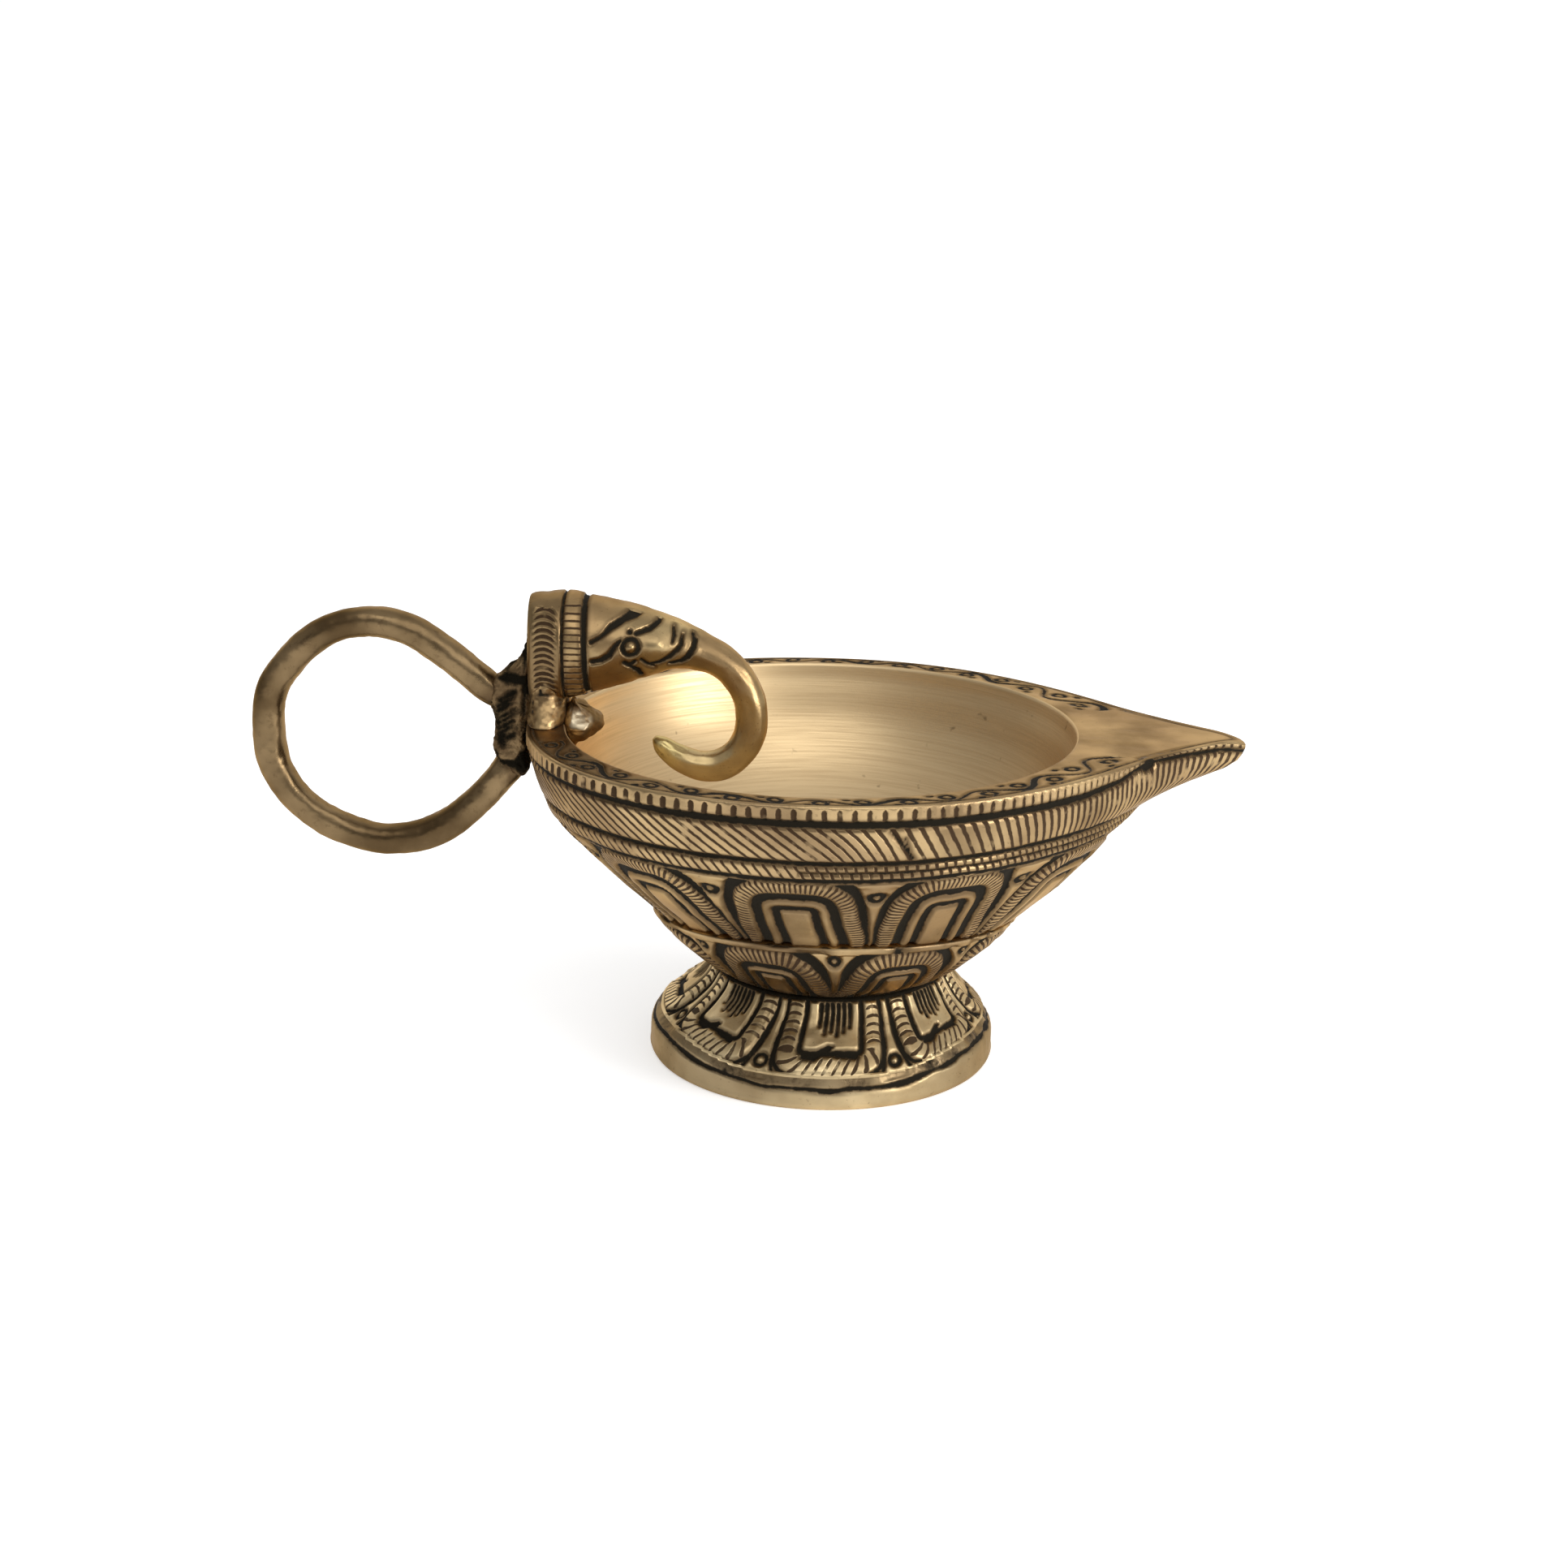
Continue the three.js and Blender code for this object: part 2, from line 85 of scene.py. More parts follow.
def in_frame(points):
    """Millimetres from the foot axis to metres in the shared frame."""
    return (np.asarray(points, float) + [AXIS_X, 0, 0]) * MM


# ---- curves ----
def smooth(stations, at):
    """Rows of `stations` (first column the parameter) joined by a smooth curve, read at `at`."""
    table = np.asarray(stations, float)
    x, y = table[:, 0], table[:, 1:]
    slope = np.gradient(y, x, axis=0)
    at = np.clip(at, x[0], x[-1])
    i = np.clip(np.searchsorted(x, at) - 1, 0, len(x) - 2)
    h = (x[i + 1] - x[i])[..., None]
    u = (at - x[i])[..., None] / h
    return (
        (2 * u**3 - 3 * u**2 + 1) * y[i]
        + (u**3 - 2 * u**2 + u) * h * slope[i]
        + (3 * u**2 - 2 * u**3) * y[i + 1]
        + (u**3 - u**2) * h * slope[i + 1]
    )


def bezier(corners, count):
    """Points along a cubic or quadratic curve."""
    pts = np.asarray(corners, float)
    order = len(pts) - 1
    t = np.linspace(0, 1, count)[:, None]
    terms = [math.comb(order, k) * (1 - t) ** (order - k) * t**k * pts[k] for k in range(order + 1)]
    return sum(terms)


def ease(low, high, value):
    """0 below `low`, 1 above `high`, smooth between."""
    t = np.clip((value - low) / (high - low), 0, 1)
    return t * t * (3 - 2 * t)


def mix(a, b, t):
    return a + (b - a) * t


def ripple(grid, cells, seed):
    """Noise between -1 and 1 over a grid of closed rings, with `cells` bumps each way."""
    rng = np.random.default_rng(seed)
    coarse = rng.uniform(-1, 1, cells)
    rows = np.linspace(0, cells[0] - 1, grid.shape[0])
    columns = np.linspace(0, cells[1], grid.shape[1], endpoint=False)
    r0, c0 = np.floor(rows).astype(int), np.floor(columns).astype(int)
    r1, c1 = np.minimum(r0 + 1, cells[0] - 1), (c0 + 1) % cells[1]
    fr, fc = ease(0, 1, rows - r0)[:, None], ease(0, 1, columns - c0)[None, :]
    top = mix(coarse[np.ix_(r0, c0)], coarse[np.ix_(r0, c1)], fc)
    low = mix(coarse[np.ix_(r1, c0)], coarse[np.ix_(r1, c1)], fc)
    return mix(top, low, fr)


# ---- engraving: distances to a groove in millimetres, negative inside it ----
def stripe(value, low, high):
    """A straight groove between two values of one coordinate."""
    return np.abs(value - (low + high) / 2) - (high - low) / 2


def stroke(x, y, marks):
    """A chiselled stroke through `marks`, rows of x, y and half width."""
    best = np.full(np.shape(x), FAR)
    for (x0, y0, w0), (x1, y1, w1) in zip(marks[:-1], marks[1:]):
        dx, dy = x1 - x0, y1 - y0
        t = np.clip(((x - x0) * dx + (y - y0) * dy) / (dx * dx + dy * dy), 0, 1)
        away = np.hypot(x - x0 - t * dx, y - y0 - t * dy)
        best = np.minimum(best, away - mix(w0, w1, t))
    return best


def nearest(*grooves):
    """The smallest of several distances."""
    return np.minimum.reduce(np.broadcast_arrays(*grooves))


def ring_line(x, y, radius, half):
    return np.abs(np.hypot(x, y) - radius) - half


def even_turn(count):
    return TURN * np.arange(count) / count


def groove_only(distance):
    """Engraving values for a surface with grooves or tarnish and no hatching."""
    return np.stack([np.minimum(distance, FAR), 0 * distance, 0 * distance], -1)


def relief(groove, depth, slope=0.45):
    """Height of the metal beside and inside a groove."""
    return -depth * ease(-slope, 0.1, -groove)


class Engraving:
    """What is cut into a patch of surface: grooves, fine hatching and how deep."""

    def __init__(self, grid):
        shape = grid.shape[:2]
        self.groove = np.full(shape, FAR)
        self.phase = np.zeros(shape)
        self.hatch = np.zeros(shape)

    def cut(self, groove, on=True):
        self.groove = np.minimum(self.groove, np.where(on, groove, FAR))

    def hatching(self, phase, half_width, on=True):
        """Lines at whole numbers of `phase`, each `half_width` of a pitch to either side."""
        shown = np.where(on, half_width, 0)
        self.phase = np.where(shown > 0, phase, self.phase)
        self.hatch = np.maximum(self.hatch, shown)

    def packed(self):
        return np.stack([np.minimum(self.groove, FAR), self.phase, self.hatch], -1)


ARCH_POWER = 2.9  # 2 would give round shoulders to the nested arches; more squares them


def arch(x, t, half, top, corner):
    """Distance from an arch-topped panel that runs down without end, negative inside."""
    a = np.maximum(np.abs(x) - (half - corner), 0)
    b = np.maximum(t - (top - corner), 0)
    outside = (a**ARCH_POWER + b**ARCH_POWER) ** (1 / ARCH_POWER)
    within = np.maximum(np.abs(x) - (half - corner), t - (top - corner))
    return outside + np.minimum(within, 0) - corner


def along_arch(x, t, half, top, corner, middle):
    """Distance along the arch's border from its top centre, negative to the left."""
    a = np.abs(x) - (half - corner)
    b = t - (top - corner)
    turn = np.arctan2(np.maximum(b, 0), np.maximum(a, 1e-6))
    quarter = middle * math.pi / 2
    side = quarter + (half - corner) - np.minimum(b, 0)
    crest = np.maximum(-a, 0)
    bend = (half - corner) + quarter - middle * turn
    length = np.where(b < 0, side, np.where(a > 0, bend, (half - corner) - crest))
    return np.sign(x) * length


# ---- closed meshes, laid down ring by ring ----
class Skin:
    def __init__(self):
        self.points = []
        self.engraving = []
        self.faces = []
        self.slots = []
        self.size = 0
        self.first = None
        self.last = None

    def _push(self, points, engraving):
        flat = np.asarray(points, float).reshape(-1, 3)
        if engraving is None:
            engraving = np.tile([FAR, 0.0, 0.0], (len(flat), 1))
        self.points.append(flat)
        self.engraving.append(np.asarray(engraving, float).reshape(-1, 3))
        start = self.size
        self.size += len(flat)
        return start

    def _faces(self, faces, slot):
        self.faces += faces
        self.slots += [slot] * len(faces)

    def rings(self, points, engraving=None, slot=0):
        """Adds rows of points, each row a closed ring, after the last ring."""
        rows, count = points.shape[:2]
        start = self._push(points, engraving)
        index = start + np.arange(rows * count).reshape(rows, count)
        after = np.roll(index, -1, axis=1)
        quads = np.stack([index[:-1], after[:-1], after[1:], index[1:]], -1)
        self._faces(quads.reshape(-1, 4).tolist(), slot)
        if self.last is None:
            self.first = index[0]
        else:
            self.bridge(self.last, index[0], slot)
        self.last = index[-1]

    def bridge(self, a, b, slot=0):
        """Joins two rings, one with a whole number of times as many points as the other."""
        flip = len(a) < len(b)
        fine, coarse = (b, a) if flip else (a, b)
        step = len(fine) // len(coarse)
        faces = []
        for k in range(len(coarse)):
            run = [int(fine[(k * step + m) % len(fine)]) for m in range(step + 1)]
            near = [int(coarse[(k + 1) % len(coarse)]), int(coarse[k])]
            face = run + near
            faces.append(face[::-1] if flip else face)
        self._faces(faces, slot)

    def cap(self, ring, point, slot=0):
        """Closes a ring onto one point."""
        tip = self._push([point], None)
        faces = [[int(ring[k]), int(ring[(k + 1) % len(ring)]), tip] for k in range(len(ring))]
        self._faces(faces, slot)

    def cap_ends(self, slot=0):
        every = np.concatenate(self.points)
        for ring in (self.first, self.last):
            self.cap(ring, every[ring].mean(axis=0), slot)

    def close_loop(self, slot=0):
        self.bridge(self.last, self.first, slot)

    def build(self, name, materials):
        mesh = bpy.data.meshes.new(name)
        points = in_frame(np.concatenate(self.points))
        mesh.from_pydata(points.tolist(), [], self.faces)
        for material in materials:
            mesh.materials.append(material)
        mesh.polygons.foreach_set("material_index", np.array(self.slots, np.int32))
        mesh.polygons.foreach_set("use_smooth", np.ones(len(self.faces), bool))
        cut = mesh.attributes.new("engrave", "FLOAT_VECTOR", "POINT")
        cut.data.foreach_set("vector", np.concatenate(self.engraving).astype(np.float32).ravel())
        shaped = bmesh.new()
        shaped.from_mesh(mesh)
        bmesh.ops.recalc_face_normals(shaped, faces=shaped.faces)
        shaped.to_mesh(mesh)
        shaped.free()
        piece = bpy.data.objects.new(name, mesh)
        bpy.context.scene.collection.objects.link(piece)
        return piece


def normals_of(grid, middle):
    """Unit normals of a grid of closed rings, turned away from the point `middle`."""
    around = np.roll(grid, -1, axis=1) - np.roll(grid, 1, axis=1)
    along = np.gradient(grid, axis=0)
    normal = np.cross(around, along)
    normal /= np.maximum(np.linalg.norm(normal, axis=-1, keepdims=True), 1e-9)
    facing = np.sum(normal * (grid - np.asarray(middle, float)), axis=-1).mean()
    return normal if facing > 0 else -normal


def raise_by(grid, height, middle):
    return grid + normals_of(grid, middle) * height[..., None]


def lobed_piece(name, material, *lobes):
    """One piece of closed lobes, each a grid of rings and what is engraved on it."""
    skin = Skin()
    for grid, engraving in lobes:
        skin.last = None
        skin.rings(grid, engraving)
        skin.cap_ends()
    return skin.build(name, [material])


# ---- materials ----
class Nodes:
    """A short way to write a node tree."""

    def __init__(self, owner, shader="Principled BSDF"):
        owner.use_nodes = True
        self.owner = owner
        self.tree = owner.node_tree
        self.shader = self.tree.nodes[shader]

    def add(self, kind, inputs=(), **settings):
        node = self.tree.nodes.new(kind)
        for key, value in settings.items():
            setattr(node, key, value)
        for key, value in dict(inputs).items():
            self.set(node.inputs[key], value)
        return node

    def set(self, socket, value):
        if isinstance(value, bpy.types.NodeSocket):
            self.tree.links.new(value, socket)
        else:
            socket.default_value = value

    def maths(self, operation, a, b=0.0, c=0.0):
        node = self.add("ShaderNodeMath", {0: a, 1: b, 2: c}, operation=operation)
        return node.outputs[0]

    def ramp(self, value, low, high, to_low=0.0, to_high=1.0):
        """Smooth step of `value` from low to high."""
        node = self.add(
            "ShaderNodeMapRange",
            {"Value": value, "From Min": low, "From Max": high, "To Min": to_low, "To Max": to_high},
            interpolation_type="SMOOTHSTEP",
        )
        return node.outputs["Result"]

    def noise(self, scale, detail=3.0, stretch=(1, 1, 1), roughness=0.5):
        place = self.add("ShaderNodeTexCoord").outputs["Object"]
        mapped = self.add("ShaderNodeMapping", {"Vector": place, "Scale": stretch})
        node = self.add(
            "ShaderNodeTexNoise",
            {"Vector": mapped.outputs[0], "Scale": scale, "Detail": detail, "Roughness": roughness},
        )
        return node.outputs["Fac"]

    def blend(self, factor, a, b):
        node = self.add("ShaderNodeMix", data_type="RGBA")
        self.set(node.inputs[0], factor)
        self.set(node.inputs[6], a)
        self.set(node.inputs[7], b)
        return node.outputs[2]

    def engraved(self):
        """The groove distance, hatching phase and hatching half width cut into the mesh."""
        cut = self.add("ShaderNodeAttribute", attribute_name="engrave")
        return self.add("ShaderNodeSeparateXYZ", {0: cut.outputs["Vector"]}).outputs

    def surface(self, colour, roughness):
        self.set(self.shader.inputs["Base Color"], colour)
        self.set(self.shader.inputs["Roughness"], roughness)
        return self.owner

    def metal(self, colour, roughness, height, strength, distance, metallic=1.0):
        """A metal surface with a bump of `height`."""
        self.shader.inputs["Specular Tint"].default_value = GRAZING
        self.set(self.shader.inputs["Metallic"], metallic)
        values = {"Height": height, "Strength": strength, "Distance": distance}
        self.set(self.shader.inputs["Normal"], self.add("ShaderNodeBump", values).outputs[0])
        return self.surface(colour, roughness)


BRASS_LIT = (0.52, 0.37, 0.19, 1)
BRASS_WARM = (0.33, 0.225, 0.118, 1)
BRASS_BROWN = (0.105, 0.066, 0.033, 1)
BRASS_PALE = (0.68, 0.51, 0.29, 1)
BRASS_DULL = (0.60, 0.44, 0.245, 1)
BRASS_UMBER = (0.21, 0.14, 0.07, 1)
BRASS_GLINT = (0.95, 0.82, 0.58, 1)
BRASS_YELLOW = (0.68, 0.55, 0.24, 1)
PATINA = (0.010, 0.0085, 0.0055, 1)
GRAZING = (0.82, 0.66, 0.50, 1)  # colour of brass in reflections that skim its surface
NOTCH_BROWN = (0.035, 0.018, 0.009, 1)


def bright_spot(n, colour, middle, reach, bright):
    """Turns `colour` to `bright` within `reach` millimetres of the point `middle`; on the braze lump
    this is a painted highlight.
    """
    place = n.add("ShaderNodeTexCoord").outputs["Object"]
    spot = in_frame(middle).tolist()
    away = n.add("ShaderNodeVectorMath", {0: place, 1: spot}, operation="DISTANCE")
    share = n.ramp(away.outputs["Value"], reach * MM, 0.3 * reach * MM, 0.0, 0.85)
    return n.blend(share, colour, bright)


def engraved_brass(
    name, stain=0.5, polish=0.34, pitted=0.35, lit=BRASS_LIT, warm=BRASS_WARM, halo=0.85,
    bright_at=None,
):
    """Polished cast brass with black patina in the grooves and hatching.

    The metal is browned within `halo` millimetres of a groove. `bright_at` is a point in millimetres
    round which the colour is turned yellow.
    """
    n = Nodes(bpy.data.materials.new(name))
    groove, phase, hatch = n.engraved()

    ragged = n.noise(900, 4)
    wobble = n.maths("MULTIPLY_ADD", ragged, 0.4, -0.2)
    edge = n.maths("ADD", groove, wobble)
    in_groove = n.ramp(edge, 0.16, -0.06)

    shaken = n.maths("MULTIPLY_ADD", ragged, 0.22, phase)
    off = n.maths("ABSOLUTE", n.maths("SUBTRACT", n.maths("FRACT", shaken), 0.5))
    inner = n.maths("SUBTRACT", 0.5, hatch)
    line = n.ramp(n.maths("SUBTRACT", off, inner), -0.05, 0.06)
    pressed = n.ramp(n.noise(420, 2), 0.22, 0.42)
    in_line = n.maths("MULTIPLY", n.maths("MULTIPLY", line, pressed), n.ramp(hatch, 0.0, 0.05))
    dark = n.maths("MAXIMUM", in_groove, n.maths("MULTIPLY", in_line, 0.95))

    browned = n.ramp(groove, halo, 0.1, 0.0, 0.8)
    blotch = n.ramp(n.noise(95, 4), 0.42, 0.72, 0.0, stain)
    speck = n.ramp(n.noise(1500, 2, roughness=0.7), 0.62, 0.72, 0.0, pitted)
    cast = n.blend(n.ramp(n.noise(60, 3), 0.35, 0.65), lit, warm)
    if bright_at:
        cast = bright_spot(n, cast, bright_at, 5.5, BRASS_YELLOW)
    worn = n.blend(n.maths("MAXIMUM", browned, blotch), cast, BRASS_BROWN)
    pits = n.blend(speck, worn, BRASS_BROWN)
    filled = n.blend(in_groove, NOTCH_BROWN, PATINA)
    colour = n.blend(dark, pits, filled)

    gloss = n.ramp(n.noise(240, 3), 0.3, 0.7, polish - 0.06, polish + 0.1)
    roughness = n.maths("MAXIMUM", gloss, n.maths("MULTIPLY", dark, 0.85))
    dents = n.maths("MULTIPLY", n.noise(330, 3), 0.5)
    grain = n.maths("MULTIPLY_ADD", n.noise(2600, 2), 0.12, dents)
    height = n.maths("SUBTRACT", grain, n.maths("MULTIPLY", dark, 0.7))
    metal = n.maths("SUBTRACT", 1.0, n.maths("MULTIPLY", dark, 0.85))
    n.shader.inputs["Specular IOR Level"].default_value = 0.2
    return n.metal(colour, roughness, height, 0.6, 0.00025, metal)


def brushed_brass(name):
    """The turned inside of the bowl: fine level scratches and soft bands of tone."""
    n = Nodes(bpy.data.materials.new(name))
    scratch = n.noise(60, 4, (1, 1, 55), 0.65)
    band = n.noise(9, 3, (1, 1, 3.5))
    spot = n.ramp(n.noise(420, 2), 0.70, 0.78, 0.0, 0.5)
    tone = n.blend(n.ramp(band, 0.35, 0.68), BRASS_PALE, BRASS_DULL)
    streaked = n.blend(n.ramp(scratch, 0.35, 0.75, 0.0, 0.3), tone, BRASS_WARM)
    colour = n.blend(spot, streaked, BRASS_BROWN)
    roughness = n.ramp(scratch, 0.3, 0.7, 0.4, 0.5)
    return n.metal(colour, roughness, scratch, 0.25, 0.00006)


def handled_brass(name, tone_low, tone_high, polish, bright_at=None):
    """Smooth cast brass of the ring, darkened by handling and in the corners of its joints, with a
    painted highlight round `bright_at` when that is given.
    """
    n = Nodes(bpy.data.materials.new(name))
    joint = n.engraved()[0]
    cloud = n.noise(70, 4)
    tone = n.blend(n.ramp(cloud, 0.36, 0.66), tone_low, tone_high)
    scuff = n.ramp(n.noise(650, 3, (1, 1, 1), 0.7), 0.56, 0.7, 0.0, 0.5)
    worn = n.blend(scuff, tone, BRASS_BROWN)
    edge = n.maths("MULTIPLY_ADD", n.noise(500, 4), 1.2, n.maths("SUBTRACT", joint, 0.6))
    if bright_at:
        # Painted highlight: a pale spot round the point bright_at.
        worn = bright_spot(n, worn, bright_at, 2.6, BRASS_GLINT)
    browned = n.blend(n.ramp(edge, 1.5, 0.3), worn, BRASS_BROWN)
    dark = n.ramp(edge, 0.45, -0.1)
    colour = n.blend(dark, browned, PATINA)
    gloss = n.ramp(n.noise(210, 3), 0.3, 0.7, polish - 0.05, polish + 0.09)
    roughness = n.maths("MAXIMUM", gloss, n.maths("MULTIPLY", dark, 0.75))
    height = n.maths("MULTIPLY_ADD", n.noise(1800, 2), 0.2, n.noise(260, 3))
    return n.metal(colour, roughness, height, 0.45, 0.00024)


def rough_brass(name):
    """The joint behind the bowl: rough casting under dark patina, worn on its high spots."""
    n = Nodes(bpy.data.materials.new(name))
    groove = n.engraved()[0]
    clot = n.noise(520, 5, roughness=0.7)
    edge = n.maths("MULTIPLY_ADD", clot, 2.0, n.maths("SUBTRACT", groove, 1.0))
    dark = n.ramp(edge, 0.75, -0.15)
    worn = n.blend(n.ramp(n.noise(300, 4), 0.4, 0.62), BRASS_BROWN, BRASS_UMBER)
    colour = n.blend(dark, worn, PATINA)
    roughness = n.maths("MULTIPLY_ADD", dark, 0.35, 0.42)
    height = n.maths("SUBTRACT", clot, n.maths("MULTIPLY", dark, 0.5))
    n.shader.inputs["Specular IOR Level"].default_value = 0.2
    return n.metal(colour, roughness, height, 0.8, 0.0004, 0.85)


def plain_brass(name):
    """Clean machined brass of the hidden stud, washer and nut."""
    n = Nodes(bpy.data.materials.new(name))
    turning = n.noise(500, 3, (1, 1, 8))
    colour = n.blend(n.ramp(turning, 0.3, 0.7), BRASS_PALE, BRASS_LIT)
    roughness = n.ramp(turning, 0.3, 0.7, 0.26, 0.4)
    return n.metal(colour, roughness, turning, 0.3, 0.00005)


BODY = engraved_brass("engraved_brass")
# The foot's brass is a lighter copy of the bowl's: painted light that makes up for the shade the bowl
# casts over the foot.
FOOT_METAL_PAINTED_LIGHT = engraved_brass(
    "engraved_foot_brass_painted_light", stain=0.4, polish=0.42, pitted=0.4, lit=(0.82, 0.65, 0.38, 1),
    warm=(0.52, 0.39, 0.21, 1), halo=0.5,
)
HEAD_METAL = engraved_brass(
    "engraved_head_brass", stain=0.55, polish=0.36, pitted=0.4, lit=(0.56, 0.42, 0.21, 1),
    warm=(0.36, 0.24, 0.115, 1), halo=1.0, bright_at=(-25.0, 0, 47.6),
)
INSIDE = brushed_brass("brushed_brass")
RING_METAL = handled_brass("ring_brass", (0.25, 0.172, 0.088, 1), (0.095, 0.06, 0.028, 1), 0.31)
JOINT = rough_brass("rough_brass")
BARE = plain_brass("bare_brass")
# The braze lump's metal, with a painted highlight round one point on its front.
BRAZE_METAL_PAINTED_HIGHLIGHT = handled_brass(
    "braze_brass_painted_highlight", (0.34, 0.24, 0.125, 1), (0.14, 0.09, 0.043, 1), 0.36,
    bright_at=(-36.8, -4.4, 52.6),
)


# ---- bowl outline ----
def half_leaf():
    """The rim's outer edge in plan, from the rear end round one side to the spout tip."""
    turn = np.linspace(0, math.pi / 2, 160, endpoint=False)
    power = 2 / 2.15
    rear = np.stack(
        [-RIM_REAR * np.cos(turn) ** power, RIM_HALF_WIDTH * np.sin(turn) ** power], -1
    )
    shoulder = bezier([(0, RIM_HALF_WIDTH), (19, RIM_HALF_WIDTH), (32.5, 31.1), (44, 17)], 160)
    flank = bezier([(44, 17), (47.2, 13.1), (54.5, 6.2), (61, 1.6)], 100)
    tip = bezier([(61, 1.6), (SPOUT_LENGTH, 0.7), (SPOUT_LENGTH, 0)], 16)
    return np.concatenate([rear, shoulder[:-1], flank[:-1], tip])


_leaf = half_leaf()
_leaf_angle = np.arctan2(_leaf[:, 1], _leaf[:, 0])[::-1]
_leaf_radius = np.hypot(_leaf[:, 0], _leaf[:, 1])[::-1]


def leaf_radius(angle):
    folded = np.abs(np.arctan2(np.sin(angle), np.cos(angle)))
    return np.interp(folded, _leaf_angle, _leaf_radius)


def leaf_reach(angle, keel):
    """How far the leaf reaches beyond a round bowl, sharp (keel 1) or blunt (keel 0)."""
    sharp = leaf_radius(angle) - RIM_HALF_WIDTH
    blunt = (SPOUT_LENGTH - RIM_HALF_WIDTH) * np.clip(np.cos(angle), 0, 1) ** 6
    return np.where(np.cos(angle) > 0, mix(blunt, sharp, keel), sharp)


FINE = 800  # points round the engraved surfaces
COARSE = 200  # points round the plain ones
TIP_CROWDING = 0.42


def directions(count):
    """Directions round the bowl from the rear, closer together toward the spout."""
    even = even_turn(count) - math.pi
    return even - TIP_CROWDING * np.sin(even)


AROUND = directions(FINE)
AROUND_COARSE = AROUND[:: FINE // COARSE]

RIM_RADIUS = 42.33

# Level, radius, share of the leaf behind and ahead of the axis, keel, shift, saddle.
WALL = np.array([
    (25.3, 28.1, 0, 0.08, 0, 1, 1),
    (26.2, 28.95, 0, 0.11, 0, 1, 0.9),
    (30, 32.2, 0.2, 0.21, 0, 0.4, 0.4),
    (35, 36.4, 0.4, 0.245, 0, 0, 0),
    (38.6, 39.3, 0.55, 0.265, 0.2, 0, 0),
    (40.3, 40.4, 0.64, 0.30, 0.3, 0, 0),
    (42.2, 40.9, 0.72, 0.39, 0.5, 0, 0),
    (43, 41.1, 0.76, 0.48, 0.6, 0, 0),
    (44.9, 41.5, 0.86, 0.71, 0.75, 0, 0),
    (46.6, 41.8, 0.93, 0.89, 0.88, 0, 0),
    (47.9, 42.1, 0.97, 0.955, 0.96, 0, 0),
    (49.1, RIM_RADIUS, 1, 0.975, 1, 0, 0),
    (50.3, RIM_RADIUS, 1, 0.995, 1, 0, 0),
    (50.9, RIM_RADIUS, 1, 0.995, 1, 0, 0),
    (52, RIM_RADIUS, 1, 0.97, 1, 0, 0),
])


def wall(levels, angles, inset=0.0):
    """Points of the bowl's outer wall at nominal levels, `inset` inward from it."""
    radius, rear, prow, keel, shift, saddle = (
        np.interp(levels, WALL[:, 0], WALL[:, k])[:, None] for k in range(1, 7)
    )
    turn = np.cos(angles)[None, :]
    share = np.where(turn > 0, prow, rear)
    rise = -saddle * SEAM_SADDLE * np.cos(2 * angles)[None, :]
    edge = radius + share * leaf_reach(angles[None, :], keel) + SEAM_FLARE * rise
    edge = edge - np.asarray(inset).reshape(-1, 1)
    x = shift + edge * turn
    y = edge * np.sin(angles)[None, :]
    z = np.broadcast_to(np.asarray(levels, float)[:, None] + rise, x.shape)
    return np.stack([x, y, z], -1)


def circle(radius, z, angles, centre=0.0, saddle=0.0):
    rise = -saddle * SEAM_SADDLE * np.cos(2 * angles)
    x = centre + radius * np.cos(angles)
    return np.stack([x, radius * np.sin(angles), z + rise], -1)


def turned(profile, centre=0.0):
    """Plain rings from rows of radius, level and, for a ring that follows the seam, saddle."""
    return np.stack([circle(r, z, AROUND_COARSE, centre, *saddle) for r, z, *saddle in profile])


def petal_frame(angles, radius, start, count):
    """Distance across from the nearest petal's centre line, and from the nearest sepal's."""
    pitch = TURN / count
    turn = (angles - start) / pitch
    across = (turn - np.round(turn)) * pitch
    sepal = (turn - 0.5 - np.round(turn - 0.5)) * pitch
    return across * radius, sepal * radius


# ---- petals ----
class Tier:
    """A ring of arch-topped petals with nested grooves, a hatched border and sepals between.

    `arch` is half width, top and corner of the innermost groove. `grooves`, `border` (where the
    hatching fades in and out) and `edge` are distances out from it. `sepal` lists half widths up
    the wall, and `bead` is the height, radius and half line width of the ring over each sepal,
    which has an outline where `outlined` is set. Nothing is cut above `top`. The hatching's
    spacing is `pitch` along a line `middle` out from the arch, and the arch is squashed by
    `squat` above the height `squat_above`.
    """

    def __init__(self, count, start, **shape):
        self.count = count
        self.start = start
        self.shape = shape

    def engrave(self, engraving, radius, climb, on=True):
        shape = self.shape
        across, sepal = petal_frame(AROUND[None, :], radius, self.start, self.count)
        low = shape["squat_above"]
        raised = np.where(climb > low, low + (climb - low) * shape["squat"], climb)
        out = arch(across, raised, *shape["arch"])
        sepal_half = smooth(shape["sepal"], climb)[..., 0]
        beside = np.abs(sepal)
        bead_at, bead, half = shape["bead"]
        cuts = [stripe(out, *groove) for groove in shape["grooves"]]
        cuts.append(np.maximum(shape["edge"] - out, sepal_half - beside))
        cuts.append(ring_line(sepal, climb - bead_at, bead, half))
        if shape["outlined"]:
            cuts.append(np.abs(beside - sepal_half - 0.2) - 0.22)
        engraving.cut(np.maximum(nearest(*cuts), climb - shape["top"]), on)
        in_low, in_high, out_low, out_high = shape["border"]
        reach = ease(in_low, in_high, out) * ease(out_low, out_high, out)
        run = along_arch(across, raised, *shape["arch"], shape["middle"])
        engraving.hatching(run / shape["pitch"], 0.24 * reach, on)
        return across, sepal


